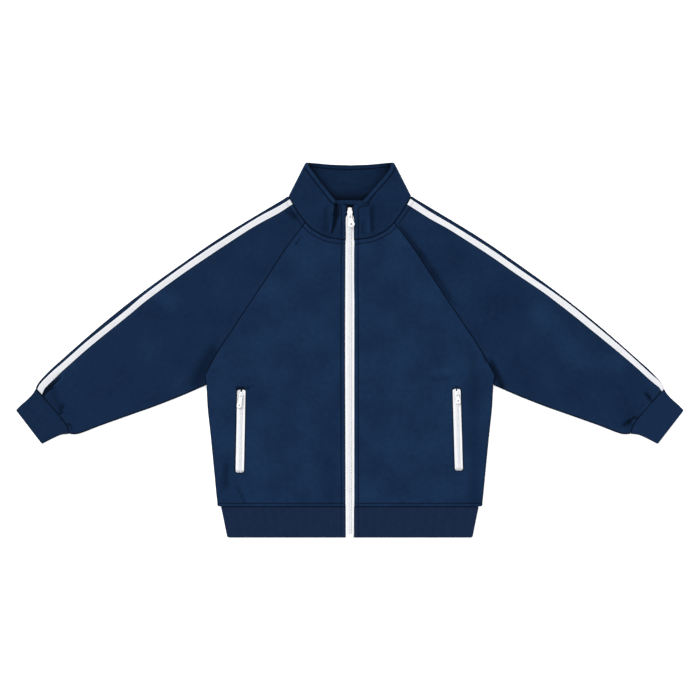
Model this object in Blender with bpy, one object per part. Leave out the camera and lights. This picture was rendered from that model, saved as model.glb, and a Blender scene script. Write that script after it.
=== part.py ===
# A child's raglan track jacket, zipped up and laid flat on its back.
# The frame: x runs toward the wearer's left, y toward the collar, z up from the table.
# Sizes below are in millimetres and are scaled to metres as each mesh is made.

from collections import namedtuple
from math import atan2, cos, exp, hypot, pi, radians, sin

import bmesh
import bpy
from mathutils import Vector

MM = 0.001

# Cloth, rib and clearances
GAP = 0.3
CLOTH = 1.6
RIB = 2.2
COLLAR = 2.4
LAYER_GAP = 2.6
RIB_LAYER_GAP = 0.8
BODY_FOLD = CLOTH + LAYER_GAP / 2
RIB_FOLD = RIB + RIB_LAYER_GAP / 2
COLLAR_FOLD_AT_SEAM = 3.3
COLLAR_FOLD_AT_TOP = 4.0
FOLD_STEPS = 2

# Main sizes of the cut
HEM_SEAM_Y = -234.0
HEM_Y = -280.9
ZIP_OPENING = 6.8
ZIP_OPENING_AT_TOP = 5.1
ZIP_NARROWS_FROM = 198.0
ZIP_NARROWS_TO = 208.0
ZIP_CLOSES_FROM = 216.9
ZIP_CLOSES_TO = 218.5
COLLAR_TOP_AT_ZIP = 225.0
COLLAR_LIFT = 4.4
STRIPE_WIDTH = 9.5
STRIPE_THICKNESS = 1.0

# Corners of the seams, wearer's left side
NECK_AT_ZIP = (ZIP_OPENING, 166.1)
RAGLAN_TOP = (66.5, 192.0)
RAGLAN_TOP_BACK = (62.0, 219.5)
SHOULDER = (93.5, 229.6)
OVERLAP = (217.0, -37.0)
UNDERARM = (214.5, -51.5)
COLLAR_CORNER = (66.3, 280.9)
CUFF_TOP = (469.2, -59.2)
CUFF_BOTTOM = (419.9, -123.4)
CUFF_END_TOP = (500.0, -89.6)
CUFF_END_BOTTOM = (460.8, -139.3)

# Curved seams and outlines, by the few points they pass through
NECK_FRONT = [NECK_AT_ZIP, (21, 167.9), (34.5, 170.6), (47.3, 176.3), (57, 182.4), RAGLAN_TOP]
NECK_SHOULDER = [RAGLAN_TOP, (80, 210.8), SHOULDER]
NECK_BACK = [(0, 211.5), (31, 213.5), RAGLAN_TOP_BACK, (80, 225.4), SHOULDER]
RAGLAN_FRONT = [RAGLAN_TOP, (96.5, 152), (122, 112.8), (169, 42), (200.5, -6), OVERLAP]
RAGLAN_BACK = [RAGLAN_TOP_BACK, (112, 150), (160, 72), (198, 0), OVERLAP]
SLEEVE_TOP = [SHOULDER, (134.3, 205.9), (194.3, 169.1), (254.3, 127.9), (314.3, 84.4),
              (374.3, 36.4), (434.3, -16.1), (456.8, -40.9), CUFF_TOP]
SLEEVE_BOTTOM = [UNDERARM, (254.3, -68.6), (314.3, -91.1), (374.3, -112.1), (404.3, -122.6), CUFF_BOTTOM]
CUFF_SEAM = [CUFF_TOP, (457.7, -73), (445, -86.8), (432.5, -99.4), (424.4, -112.1), CUFF_BOTTOM]
CUFF_SIDE_TOP = [CUFF_TOP, (473.7, -66.2), (486.3, -80.4), CUFF_END_TOP]
CUFF_SIDE_BOTTOM = [CUFF_BOTTOM, (432.5, -125.2), (443.9, -129.9), CUFF_END_BOTTOM]

# The side seam's outline, a row for each row of the panel mesh, hem first
Side = namedtuple("Side", "x y")
SIDE_ROWS = [
    Side(192.0, HEM_SEAM_Y),
    Side(196.8, -231.8),
    Side(198.5, -225.0),
    Side(203.0, -180.0),
    Side(207.9, -130.0),
    Side(212.3, -85.0),
    Side(*UNDERARM),
]

# The hem rib's half width, a row for each level down the band
HemLevel = namedtuple("HemLevel", "y half_width")
HEM_LEVELS = [
    HemLevel(HEM_SEAM_Y, 192.0),
    HemLevel(-250.0, 188.9),
    HemLevel(-278.5, 183.7),
    HemLevel(HEM_Y, 182.6),
]
HEM_FRONT_COLUMNS = (ZIP_OPENING, 50.0, 100.0, 150.0)

# The collar's front half, a row for each upright line from the zip to the raglan seam:
# distance along the neck seam, surface height there, then the top edge's place and height
CollarLine = namedtuple("CollarLine", "along seam_z top_x top_y top_z")
COLLAR_FRONT = [
    CollarLine(0.0, 6.6, GAP, COLLAR_TOP_AT_ZIP, 10.0),
    CollarLine(8.5, 6.6, 9.0, COLLAR_TOP_AT_ZIP, 10.2),
    CollarLine(13.5, 6.5, 15.0, COLLAR_TOP_AT_ZIP, 9.2),
    CollarLine(18.0, 6.6, 19.0, 225.2, 10.2),
    CollarLine(22.0, 6.7, 22.0, 226.2, 12.8),
    CollarLine(27.0, 6.8, 25.4, 229.6, 14.2),
    CollarLine(38.0, 6.8, 34.6, 240.5, 13.8),
    CollarLine(50.0, 6.8, 43.8, 251.8, 12.8),
]
COLLAR_TOP_OVER_RAGLAN = (54.3, 264.4, 11.2)
COLLAR_TOP_OVER_STRIPE = (61.6, 274.6, 9.4)
COLLAR_BACK_TOP = [(0, 277.1), (30, 278.4), COLLAR_CORNER]
COLLAR_LEVELS = (0.0, 0.25, 0.5, 0.75, 0.862, 0.89, 1.0)

# Soft folds of the upper layer: a straight ridge or trough from one point to another
Fold = namedtuple("Fold", "x1 y1 x2 y2 width height")
FOLDS = [
    Fold(150, 62, 204, -40, 11, 1.2),
    Fold(172, 62, 226, -34, 9, -0.9),
    Fold(84, 60, 84, -40, 52, 0.7),
    Fold(24, -219, 186, -219, 9, 1.1),
    Fold(300, 10, 385, -55, 34, 0.8),
    Fold(428, -42, 456, -64, 5, 1.1),
    Fold(398, -96, 428, -92, 6, 1.0),
]
FOLD_FADE = 16.0

RAGLAN_STEPS = (0.0, 0.16, 0.32, 0.48, 0.64, 0.78, 0.9, 1.0)
SLEEVE_RINGS = (0.0, 0.05, 0.13, 0.26, 0.4, 0.54, 0.68, 0.8, 0.88, 0.94, 0.975, 1.0)
CUFF_RINGS = (0.0, 0.3, 0.65, 1.0)
BACK_NECK_STOPS = (0.0, 0.21, 0.42)

# How fast a curved edge evens out into the panel's straight rows
NECK_SPREAD_FADE = 2
NECK_BEND_FADE = 6
CUFF_BEND_FADE = 6
RAGLAN_BEND_FADE = 1.5
RIB_BEND_FADE = 2

# Zips: half widths and lengths of each part, and the levels inside the jacket
TAPE = 1.0
TAPE_TOP = CLOTH + LAYER_GAP - GAP
ZipSize = namedtuple("ZipSize", "chain chain_height split reach width length post_start post_end"
                                " axis foot pull_length pull_width eye window")
FRONT_ZIP = ZipSize(chain=3.0, chain_height=1.8, split=1.2, reach=16.0, width=4.6, length=14.5,
                    post_start=1.2, post_end=4.2, axis=11.8, foot=1.0,
                    pull_length=18.4, pull_width=5.0, eye=2.5, window=4.2)
POCKET_ZIP = ZipSize(chain=2.2, chain_height=1.5, split=1.0, reach=10.5, width=3.5, length=9.0,
                     post_start=0.9, post_end=2.9, axis=4.2, foot=0.8,
                     pull_length=15.5, pull_width=3.6, eye=2.2, window=3.6)
PLATE = 0.9
LOWER_PLATE = 0.7
FLANGE = 0.9
PLATE_CORNER = 1.0
PLATE_TAPER = 0.9
PLATE_SHOULDER = 0.55
SUNK = 0.15
BRIDGE_HALF = 0.7
BRIDGE_CLEAR = 1.15
BRIDGE_PLAY = 0.45
BRIDGE_BAR = 0.8
PULL_THICKNESS = 1.2
PULL_NECK = 1.0
PULL_FLARE = 4.0
PULL_ROUND = 2.1
PULL_HOLE = 1.3
PULL_HOLE_SIDES = 10
PULL_HOLE_FROM_END = 3.6
CHAIN_EASE = 0.5
ZIP_BOX_HALF = 4.5
ZIP_BOX_HEIGHT = 2.2

FRONT_ZIP_TOP = 216.5
FRONT_ZIP_END = -280.3
SLIDER_TOP = 214.6
CHAIN_END = -274.5
FRONT_ZIP_STEPS = 10
TAPE_NARROWS_EARLY = 15.0
TAPE_CLEAR = 0.4
TAPE_STEP = 0.5

# Pocket zips: the slot's top and bottom middle points
Pocket = namedtuple("Pocket", "name side top_x top_y bottom_x bottom_y")
POCKETS = [
    Pocket("pocket_left", 1, 159.4, -57.1, 163.5, -179.2),
    Pocket("pocket_right", -1, 163.0, -58.2, 165.9, -182.3),
]
SLOT_HALF = 6.4
SLOT_ROUND = 3.0
TAPE_PAST_SLOT = 4.0
SLIDER_FROM_SLOT = 3.4
CHAIN_SHORT_OF_SLOT = 2.3
POCKET_ZIP_STEPS = 8

# Linear colours, roughness and metallic value of each material
FINISHES = {
    "navy_cloth": ((0.0090, 0.0270, 0.0750), 0.85, 0.0),
    "navy_rib": ((0.0085, 0.0225, 0.0600), 0.90, 0.0),
    "white_tape": ((0.80, 0.81, 0.84), 0.75, 0.0),
    "white_plastic": ((0.82, 0.83, 0.85), 0.45, 0.0),
    "white_enamel": ((0.85, 0.86, 0.88), 0.30, 0.0),
}


# Smooth lines through a few points

class Curve:
    def __init__(self, points, steps=16):
        through = [Vector(p) for p in points]
        held = [2 * through[0] - through[1]] + through + [2 * through[-1] - through[-2]]
        self.samples = []
        for i in range(len(through) - 1):
            a, b, c, d = held[i:i + 4]
            # even spacing of the spans keeps a short span from overshooting
            before = max((b - a).length, 1e-6) ** 0.5
            span = max((c - b).length, 1e-6) ** 0.5
            after = max((d - c).length, 1e-6) ** 0.5
            start = span * ((b - a) / before - (c - a) / (before + span) + (c - b) / span)
            end = span * ((c - b) / span - (d - b) / (span + after) + (d - c) / after)
            for k in range(steps):
                t = k / steps
                self.samples.append((2 * t**3 - 3 * t**2 + 1) * b + (t**3 - 2 * t**2 + t) * start
                                    + (3 * t**2 - 2 * t**3) * c + (t**3 - t**2) * end)
        self.samples.append(through[-1])
        self.reach = [0.0]
        for a, b in zip(self.samples, self.samples[1:]):
            self.reach.append(self.reach[-1] + (b - a).length)
        self.length = self.reach[-1]

    def at(self, distance):
        distance = min(max(distance, 0.0), self.length)
        for i in range(1, len(self.reach)):
            if distance <= self.reach[i]:
                part = (distance - self.reach[i - 1]) / (self.reach[i] - self.reach[i - 1])
                return self.samples[i - 1].lerp(self.samples[i], part)
        return self.samples[-1].copy()

    def part(self, fraction):
        return self.at(fraction * self.length)

    def side(self, fraction, toward):
        # unit vector square to the line, on the side of the point given
        step = 0.002
        along = self.part(min(fraction + step, 1.0)) - self.part(max(fraction - step, 0.0))
        square = Vector((-along.y, along.x)).normalized()
        here = self.part(fraction)
        return square if square.dot(toward - here) > 0 else -square


def smoothstep(low, high, value):
    t = min(max((value - low) / (high - low), 0.0), 1.0)
    return t * t * (3 - 2 * t)


neck_front = Curve(NECK_FRONT)
neck_shoulder = Curve(NECK_SHOULDER)
neck_back = Curve(NECK_BACK)
raglan_front = Curve(RAGLAN_FRONT)
raglan_back = Curve(RAGLAN_BACK)
sleeve_top = Curve(SLEEVE_TOP)
sleeve_bottom = Curve(SLEEVE_BOTTOM)
cuff_seam = Curve(CUFF_SEAM)
cuff_side_top = Curve(CUFF_SIDE_TOP)
cuff_side_bottom = Curve(CUFF_SIDE_BOTTOM)
collar_back_top = Curve(COLLAR_BACK_TOP)


# Height of the upper layer's outer surface, anywhere on the body or a sleeve

outline_samples = (sleeve_top.samples + sleeve_bottom.samples
                   + [Vector((row.x, row.y)) for row in SIDE_ROWS[1:]])


def relief(x, y):
    x = abs(x)
    total = 0.0
    for fold in FOLDS:
        start = Vector((fold.x1, fold.y1))
        run = Vector((fold.x2, fold.y2)) - start
        t = (Vector((x, y)) - start).dot(run) / run.length_squared
        t = min(max(t, 0.0), 1.0)
        away = (Vector((x, y)) - start - run * t).length / fold.width
        total += fold.height * exp(-away * away)
    edge = min(hypot(x - p.x, y - p.y) for p in outline_samples)
    return total * smoothstep(BODY_FOLD, FOLD_FADE, edge)


def front_height(x, y):
    return 2 * BODY_FOLD + relief(x, y)


def zip_opening(y):
    return ZIP_OPENING + (ZIP_OPENING_AT_TOP - ZIP_OPENING) * smoothstep(ZIP_NARROWS_FROM, ZIP_NARROWS_TO, y)


def collar_edge(y):
    # above the slider the two ends of the collar close over the zip
    opening = zip_opening(y)
    return opening + (GAP - opening) * smoothstep(ZIP_CLOSES_FROM, ZIP_CLOSES_TO, y)


def zip_lift(y):
    return COLLAR_LIFT * smoothstep(NECK_AT_ZIP[1], ZIP_NARROWS_FROM, y)


# Meshes

def finish(name):
    material = bpy.data.materials.get(name)
    if material is None:
        colour, roughness, metallic = FINISHES[name]
        material = bpy.data.materials.new(name)
        material.use_nodes = True
        shader = material.node_tree.nodes["Principled BSDF"]
        shader.inputs["Base Color"].default_value = (*colour, 1.0)
        shader.inputs["Roughness"].default_value = roughness
        shader.inputs["Metallic"].default_value = metallic
        material.diffuse_color = (*colour, 1.0)
    return material


def add_object(name, bm, finish_name):
    bmesh.ops.recalc_face_normals(bm, faces=bm.faces)
    mesh = bpy.data.meshes.new(name)
    bm.to_mesh(mesh)
    bm.free()
    if finish_name:
        mesh.materials.append(finish(finish_name))
    obj = bpy.data.objects.new(name, mesh)
    bpy.context.scene.collection.objects.link(obj)
    return obj


def add_wall(name, outer, inner, finish_name, ring=False):
    # a sheet with thickness: two grids of points, closed round their edges
    bm = bmesh.new()
    faces = [[[bm.verts.new(Vector(p) * MM) for p in line] for line in grid] for grid in (outer, inner)]
    lines = len(outer)
    across = len(outer[0])
    pairs = [(i, (i + 1) % across) for i in range(across if ring else across - 1)]
    for j in range(lines - 1):
        for i, k in pairs:
            for grid in faces:
                bm.faces.new((grid[j][i], grid[j][k], grid[j + 1][k], grid[j + 1][i]))
    top, bottom = faces
    for j in (0, lines - 1):
        for i, k in pairs:
            bm.faces.new((top[j][i], bottom[j][i], bottom[j][k], top[j][k]))
    if not ring:
        for i in (0, across - 1):
            for j in range(lines - 1):
                bm.faces.new((top[j][i], bottom[j][i], bottom[j + 1][i], top[j + 1][i]))
    return add_object(name, bm, finish_name)


def mirrored(points):
    return [Vector((-p[0], *p[1:])) for p in points]


def on_side(grid, side):
    return grid if side > 0 else [mirrored(line) for line in grid]


def seam_inset(line, following, closed=False):
    # moves a seam's line of points half a gap toward the line that follows it
    moved = []
    count = len(line)
    for i, point in enumerate(line):
        toward = following[i] - point
        pull = Vector((toward[0], toward[1]))
        squares = []
        for a, b in ((i - 1, i), (i, i + 1)):
            if not closed and (a < 0 or b >= count):
                continue
            along = line[b % count] - line[a % count]
            square = Vector((-along[1], along[0])).normalized()
            squares.append(square if square.dot(pull) > 0 else -square)
        total = sum(squares, Vector((0, 0)))
        total = total * (GAP / 2) / (total.dot(squares[0]))
        moved.append(point + Vector((total.x, total.y, 0)))
    return moved


def shift_pair(outer, inner, j, following, closed=False):
    # applies the seam inset of an outer line to the inner line as well
    moved = seam_inset(outer[j], outer[following], closed)
    inner[j] = [p + (new - old) for p, new, old in zip(inner[j], moved, outer[j])]
    outer[j] = moved


def fold_arc(edge, end, radius, wall, upper=True):
    # the rounded quarter between a fold's outermost point and the flat layer beside it
    inward = (end - edge).normalized()
    sign = 1 if upper else -1
    pair = []
    for reach in (radius, radius - wall):
        points = []
        for k in range(FOLD_STEPS):
            angle = (pi / 2) * k / FOLD_STEPS
            place = edge + inward * (radius - reach * cos(angle))
            points.append(Vector((place.x, place.y, radius + sign * reach * sin(angle))))
        pair.append(points)
    return pair


# Points shared by the pieces that meet at a seam

shoulder_point = Vector(SHOULDER)
underarm_point = Vector(UNDERARM)
neck_front_points = [neck_front.at(row.along) for row in COLLAR_FRONT] + [Vector(RAGLAN_TOP)]
raglan_front_points = [raglan_front.part(f) for f in RAGLAN_STEPS]
raglan_back_points = [raglan_back.part(f) for f in RAGLAN_STEPS]
neck_back_points = [neck_back.part(f) for f in BACK_NECK_STOPS] + [Vector(RAGLAN_TOP_BACK)]


def beside_underarm(corner, distance):
    return underarm_point + (Vector(corner) - underarm_point).normalized() * distance


# Fronts and back

def panel_grid(inner_edge, neck_line, raglan_line):
    # rows from hem to neck, columns from the middle of the body to its side
    outline = [Vector((row.x, row.y)) for row in SIDE_ROWS]
    outline += [beside_underarm(OVERLAP, BODY_FOLD)] + raglan_line[::-1]
    lengths = [0.0]
    for a, b in zip(outline, outline[1:]):
        lengths.append(lengths[-1] + (b - a).length)
    neck_start = neck_line[0]
    spread = [(p - neck_start).length / (neck_line[-1] - neck_start).length for p in neck_line]
    rows = []
    for j, outer_point in enumerate(outline):
        v = lengths[j] / lengths[-1]
        y = HEM_SEAM_Y + (neck_start.y - HEM_SEAM_Y) * v
        if j < len(SIDE_ROWS):
            # lower rows stay nearly level with the side
            y = (y + outer_point.y) / 2
        start = Vector((inner_edge, y))
        even = [k / (len(neck_line) - 1) for k in range(len(neck_line))]
        row = []
        for k in range(len(neck_line)):
            u = even[k] + (spread[k] - even[k]) * v**NECK_SPREAD_FADE
            point = start.lerp(outer_point, u)
            bend = neck_line[k] - neck_start.lerp(neck_line[-1], spread[k])
            row.append(point + bend * v**NECK_BEND_FADE)
        rows.append(row)
    rows[-1] = list(neck_line)
    return rows


def panel_walls(rows, upper):
    # gives each row its height, and the side rows their half of the fold
    side_rows = len(SIDE_ROWS)
    outer = []
    inner = []
    for j, row in enumerate(rows):
        edge = row[-1]
        end = edge + (row[-2] - edge).normalized() * BODY_FOLD
        flat = row[:-1] + [end]
        if upper:
            line = [Vector((p.x, p.y, front_height(p.x, p.y))) for p in flat]
            under = [p - Vector((0, 0, CLOTH)) for p in line]
        else:
            line = [Vector((p.x, p.y, 0)) for p in flat]
            under = [p + Vector((0, 0, CLOTH)) for p in line]
        arc, arc_inner = fold_arc(edge, end, BODY_FOLD, CLOTH, upper)
        if j < side_rows:
            seam = BODY_FOLD + (GAP / 2 if upper else -GAP / 2)
            arc[0].z = seam
            arc_inner[0].z = seam
            # the fold's inner point never passes the seam's level
            for p in arc_inner[1:]:
                p.z = max(p.z, seam + GAP / 2) if upper else min(p.z, seam - GAP / 2)
        else:
            level = line[-1].z
            beneath = under[-1].z
            for p in arc:
                p.z = level
            for p, q in zip(arc_inner, arc):
                p.x, p.y, p.z = q.x, q.y, beneath
        outer.append(line + arc[::-1])
        inner.append(under + arc_inner[::-1])
    # half a gap at the neck, hem and raglan seams
    shift_pair(outer, inner, -1, -2)
    shift_pair(outer, inner, 0, 1)
    first = side_rows - 1
    edge_line = [line[-1] for line in outer[first:]]
    moved = seam_inset(edge_line, [line[0] for line in outer[first:]])
    for j, (new, old) in enumerate(zip(moved, edge_line)):
        inner[first + j][-1] = inner[first + j][-1] + (new - old)
        outer[first + j][-1] = new
    return outer, inner


def slot_cutter(pocket):
    # a round-cornered block that cuts the pocket's slot
    frame = pocket_frame(pocket)
    outline = rounded_outline(-SLOT_HALF, SLOT_HALF, 0, frame.length, SLOT_ROUND)
    return prism([frame.place(a, s) for a, s in outline], BODY_FOLD, 3 * BODY_FOLD)


def make_front(side, pocket):
    rows = panel_grid(ZIP_OPENING, neck_front_points, raglan_front_points)
    outer, inner = panel_walls(rows, True)
    name = "front_left" if side > 0 else "front_right"
    panel = add_wall(name, on_side(outer, side), on_side(inner, side), "navy_cloth")
    combine(panel, [slot_cutter(pocket)], "DIFFERENCE")


def make_back():
    rows = panel_grid(0.0, neck_back_points, raglan_back_points)
    outer, inner = panel_walls(rows, False)
    whole = [[mirrored(line)[:0:-1] + line for line in grid] for grid in (outer, inner)]
    add_wall("back", whole[0], whole[1], "navy_cloth")


# Sleeves, their stripes and cuffs

def tube_ring(edge_top, edge_bottom, front, back, radius, wall, height):
    # one closed ring: top fold, front layer, bottom fold, back layer
    top_arc, top_arc_inner = fold_arc(edge_top, front[0], radius, wall)
    low_arc, low_arc_inner = fold_arc(edge_bottom, front[-1], radius, wall)
    low_under, low_under_inner = fold_arc(edge_bottom, back[-1], radius, wall, False)
    top_under, top_under_inner = fold_arc(edge_top, back[0], radius, wall, False)
    upper = [Vector((p.x, p.y, height(p.x, p.y))) for p in front]
    under = [Vector((p.x, p.y, 0)) for p in back]
    lift = Vector((0, 0, wall))
    outer = top_arc + upper + low_arc[::-1] + low_under[1:] + under[::-1] + top_under[:0:-1]
    inner = (top_arc_inner + [p - lift for p in upper] + low_arc_inner[::-1] + low_under_inner[1:]
             + [p + lift for p in under[::-1]] + top_under_inner[:0:-1])
    return outer, inner


def sleeve_columns(seam_points, v, beside):
    # the layer's points across the sleeve at fraction v of its length
    stripe_edge, stripe_far, low = beside
    columns = [stripe_edge, stripe_far]
    first, last = seam_points[1], seam_points[-1]
    chord = last - first
    cuff_start = BODY_FOLD + STRIPE_WIDTH
    cuff_end = cuff_seam.length - BODY_FOLD
    cuff_first = cuff_seam.at(cuff_start)
    cuff_last = cuff_seam.at(cuff_end)
    between = seam_points[2:-1]
    for k, point in enumerate(between):
        at_seam = (point - first).dot(chord) / chord.length_squared
        at_cuff = (k + 1) / (len(between) + 1)
        bend_seam = point - first.lerp(last, at_seam)
        on_cuff = cuff_seam.at(cuff_start * (1 - at_cuff) + cuff_end * at_cuff)
        bend_cuff = on_cuff - cuff_first.lerp(cuff_last, at_cuff)
        place = stripe_far.lerp(low, at_seam * (1 - v) + at_cuff * v)
        place = place + bend_seam * (1 - v)**RAGLAN_BEND_FADE + bend_cuff * v**CUFF_BEND_FADE
        columns.append(place)
    columns.append(low)
    return columns


def sleeve_seam_points(from_shoulder, raglan_points):
    # shoulder end of the neck seam, then the raglan seam down to the underarm
    stripe = [from_shoulder(BODY_FOLD), from_shoulder(BODY_FOLD + STRIPE_WIDTH)]
    return stripe + raglan_points + [beside_underarm(OVERLAP, BODY_FOLD)]


def front_from_shoulder(distance):
    return neck_shoulder.at(neck_shoulder.length - distance)


def back_from_shoulder(distance):
    return neck_back.at(neck_back.length - distance)


def sleeve_rings():
    front_seam = sleeve_seam_points(front_from_shoulder, raglan_front_points)
    back_seam = sleeve_seam_points(back_from_shoulder, raglan_back_points)
    outer = []
    inner = []
    for v in SLEEVE_RINGS:
        top = sleeve_top.part(v)
        bottom = sleeve_bottom.part(v)
        if v == 0.0:
            layers = (front_seam, back_seam)
        else:
            if v == 1.0:
                near = [cuff_seam.at(BODY_FOLD), cuff_seam.at(BODY_FOLD + STRIPE_WIDTH),
                        cuff_seam.at(cuff_seam.length - BODY_FOLD)]
            else:
                square = sleeve_top.side(v, bottom)
                near = [top + square * BODY_FOLD, top + square * (BODY_FOLD + STRIPE_WIDTH),
                        bottom + sleeve_bottom.side(v, top) * BODY_FOLD]
            layers = [sleeve_columns(seam, v, near) for seam in (front_seam, back_seam)]
        ring, ring_inner = tube_ring(top, bottom, layers[0], layers[1], BODY_FOLD, CLOTH, front_height)
        outer.append(ring)
        inner.append(ring_inner)
    return outer, inner


def make_sleeve(side):
    word = "left" if side > 0 else "right"
    outer, inner = sleeve_rings()
    shift_pair(outer, inner, 0, 1, closed=True)
    shift_pair(outer, inner, -1, -2, closed=True)
    add_wall("sleeve_" + word, on_side(outer, side), on_side(inner, side), "navy_cloth", ring=True)
    # the white tape lies on the two columns beside the shoulder fold
    beside = [ring[FOLD_STEPS:FOLD_STEPS + 2] for ring in outer]
    under = [[p + Vector((0, 0, GAP)) for p in line] for line in beside]
    over = [[p + Vector((0, 0, STRIPE_THICKNESS)) for p in line] for line in under]
    add_wall("stripe_" + word, on_side(over, side), on_side(under, side), "white_tape")


def make_cuff(side):
    word = "left" if side > 0 else "right"
    count = len(RAGLAN_STEPS) + 1
    outer = []
    inner = []
    for v in CUFF_RINGS:
        top = cuff_side_top.part(v)
        bottom = cuff_side_bottom.part(v)
        span = (bottom - top).length
        layer = []
        for k in range(count + 1):
            u = RIB_FOLD / span + (1 - 2 * RIB_FOLD / span) * k / count
            seam_point = cuff_seam.part(u)
            bend = seam_point - Vector(CUFF_TOP).lerp(Vector(CUFF_BOTTOM), u)
            layer.append(top.lerp(bottom, u) + bend * (1 - v)**RIB_BEND_FADE)
        ring, ring_inner = tube_ring(top, bottom, layer, layer, RIB_FOLD, RIB, lambda x, y: 2 * RIB_FOLD)
        outer.append(ring)
        inner.append(ring_inner)
    shift_pair(outer, inner, 0, 1, closed=True)
    add_wall("cuff_" + word, on_side(outer, side), on_side(inner, side), "navy_rib", ring=True)


# Collar and hem rib: bands that run from the zip round the back to the zip

def band_line(front, edge, back, radius, wall):
    # half a band at one level, from the zip over the side fold to the middle of the back
    fold_end = Vector(front[-1][:2])
    fold_start = Vector(back[0][:2])
    arc, arc_inner = fold_arc(edge, fold_end, radius, wall)
    under, under_inner = fold_arc(edge, fold_start, radius, wall, False)
    lift = Vector((0, 0, wall))
    outer = list(front) + arc[::-1] + under[1:] + list(back)
    inner = [p - lift for p in front] + arc_inner[::-1] + under_inner[1:] + [p + lift for p in back]
    return outer + mirrored(outer)[-2::-1], inner + mirrored(inner)[-2::-1]


def flat(points, z=0.0):
    return [Vector((p[0], p[1], z)) for p in points]


def make_collar():
    outer = []
    inner = []
    seam_fold = Vector(SHOULDER)
    corner = Vector(COLLAR_CORNER)
    fold_side = Vector((corner.y - seam_fold.y, seam_fold.x - corner.x)).normalized()
    back_seam = [back_from_shoulder(d) for d in (COLLAR_FOLD_AT_SEAM, BODY_FOLD + STRIPE_WIDTH)]
    back_seam += neck_back_points[::-1]
    for v in COLLAR_LEVELS:
        radius = COLLAR_FOLD_AT_SEAM + (COLLAR_FOLD_AT_TOP - COLLAR_FOLD_AT_SEAM) * v
        edge = seam_fold.lerp(corner, v)
        front = []
        for row, seam_point in zip(COLLAR_FRONT, neck_front_points):
            low = Vector((*seam_point, row.seam_z))
            front.append(low.lerp(Vector((row.top_x, row.top_y, row.top_z)), v))
        front[0].x = collar_edge(front[0].y)
        for seam_point, top in ((Vector(RAGLAN_TOP), COLLAR_TOP_OVER_RAGLAN),
                                (front_from_shoulder(BODY_FOLD + STRIPE_WIDTH), COLLAR_TOP_OVER_STRIPE)):
            low = Vector((*seam_point, 2 * COLLAR_FOLD_AT_SEAM))
            front.append(low.lerp(Vector(top), v))
        if v == 0.0:
            fold_end = front_from_shoulder(radius)
        else:
            fold_end = edge - fold_side * radius
        front.append(Vector((*fold_end, 2 * radius)))
        back = []
        for k, seam_point in enumerate(back_seam):
            reach = seam_point.x / back_seam[0].x
            top = collar_back_top.part(reach * (1 - COLLAR_FOLD_AT_TOP / collar_back_top.length))
            back.append(seam_point.lerp(top, v))
        if v > 0.0:
            back[0] = edge - fold_side * radius
        line, line_inner = band_line(front, edge, flat(back), radius, COLLAR)
        outer.append(line)
        inner.append(line_inner)
    shift_pair(outer, inner, 0, 1)
    add_wall("collar", outer, inner, "navy_cloth")


def make_hem_band():
    outer = []
    inner = []
    for level in HEM_LEVELS:
        y = level.y - (GAP / 2 if level.y == HEM_SEAM_Y else 0.0)
        fold_end = level.half_width - RIB_FOLD
        front = flat([(x, y) for x in (*HEM_FRONT_COLUMNS, fold_end)], 2 * RIB_FOLD)
        back = flat([(x, y) for x in (fold_end, 100.0, 0.0)])
        line, line_inner = band_line(front, Vector((level.half_width, y)), back, RIB_FOLD, RIB)
        outer.append(line)
        inner.append(line_inner)
    add_wall("hem_band", outer, inner, "navy_rib")


# Zips

class ZipFrame:
    # places a zip's own coordinates: a across it, s down from its top end
    def __init__(self, top, bottom):
        self.top = Vector(top)
        self.down = (Vector(bottom) - self.top).normalized()
        self.length = (Vector(bottom) - self.top).length
        self.across = Vector((-self.down.y, self.down.x))
        self.turn = atan2(self.across.y, self.across.x)

    def place(self, a, s):
        return self.top + self.across * a + self.down * s


def pocket_frame(pocket):
    top = (pocket.side * pocket.top_x, pocket.top_y)
    bottom = (pocket.side * pocket.bottom_x, pocket.bottom_y)
    return ZipFrame(top, bottom)


def rounded_outline(a0, a1, s0, s1, radius, steps=3):
    # the four sides between two across and two down distances, with round corners
    points = []
    for ca, cs, start in ((a1 - radius, s1 - radius, 0), (a0 + radius, s1 - radius, 90),
                          (a0 + radius, s0 + radius, 180), (a1 - radius, s0 + radius, 270)):
        for k in range(steps + 1):
            angle = radians(start + 90 * k / steps)
            points.append((ca + radius * cos(angle), cs + radius * sin(angle)))
    return points


def prism(outline, low, high):
    # an upright block over an outline
    bm = bmesh.new()
    loops = [[bm.verts.new(Vector((p[0], p[1], z)) * MM) for p in outline] for z in (low, high)]
    bm.faces.new(loops[0])
    bm.faces.new(loops[1])
    count = len(outline)
    for i in range(count):
        k = (i + 1) % count
        bm.faces.new((loops[0][i], loops[0][k], loops[1][k], loops[1][i]))
    return bm


def block(a0, a1, s0, s1, low, high):
    return prism([(a0, -s0), (a0, -s1), (a1, -s1), (a1, -s0)], low, high)


def combine(obj, shapes, operation):
    # joins or cuts an object with other closed shapes, which are then removed
    for shape in shapes:
        tool = add_object(obj.name + "_tool", shape, None)
        modifier = obj.modifiers.new("combine", "BOOLEAN")
        modifier.operation = operation
        modifier.solver = "EXACT"
        modifier.object = tool
        bpy.context.view_layer.update()
        result = bpy.data.meshes.new_from_object(obj.evaluated_get(bpy.context.evaluated_depsgraph_get()))
        obj.modifiers.clear()
        old = obj.data
        obj.data = result
        bpy.data.meshes.remove(old)
        result.name = obj.name
        tool_mesh = tool.data
        bpy.data.objects.remove(tool)
        bpy.data.meshes.remove(tool_mesh)


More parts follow.
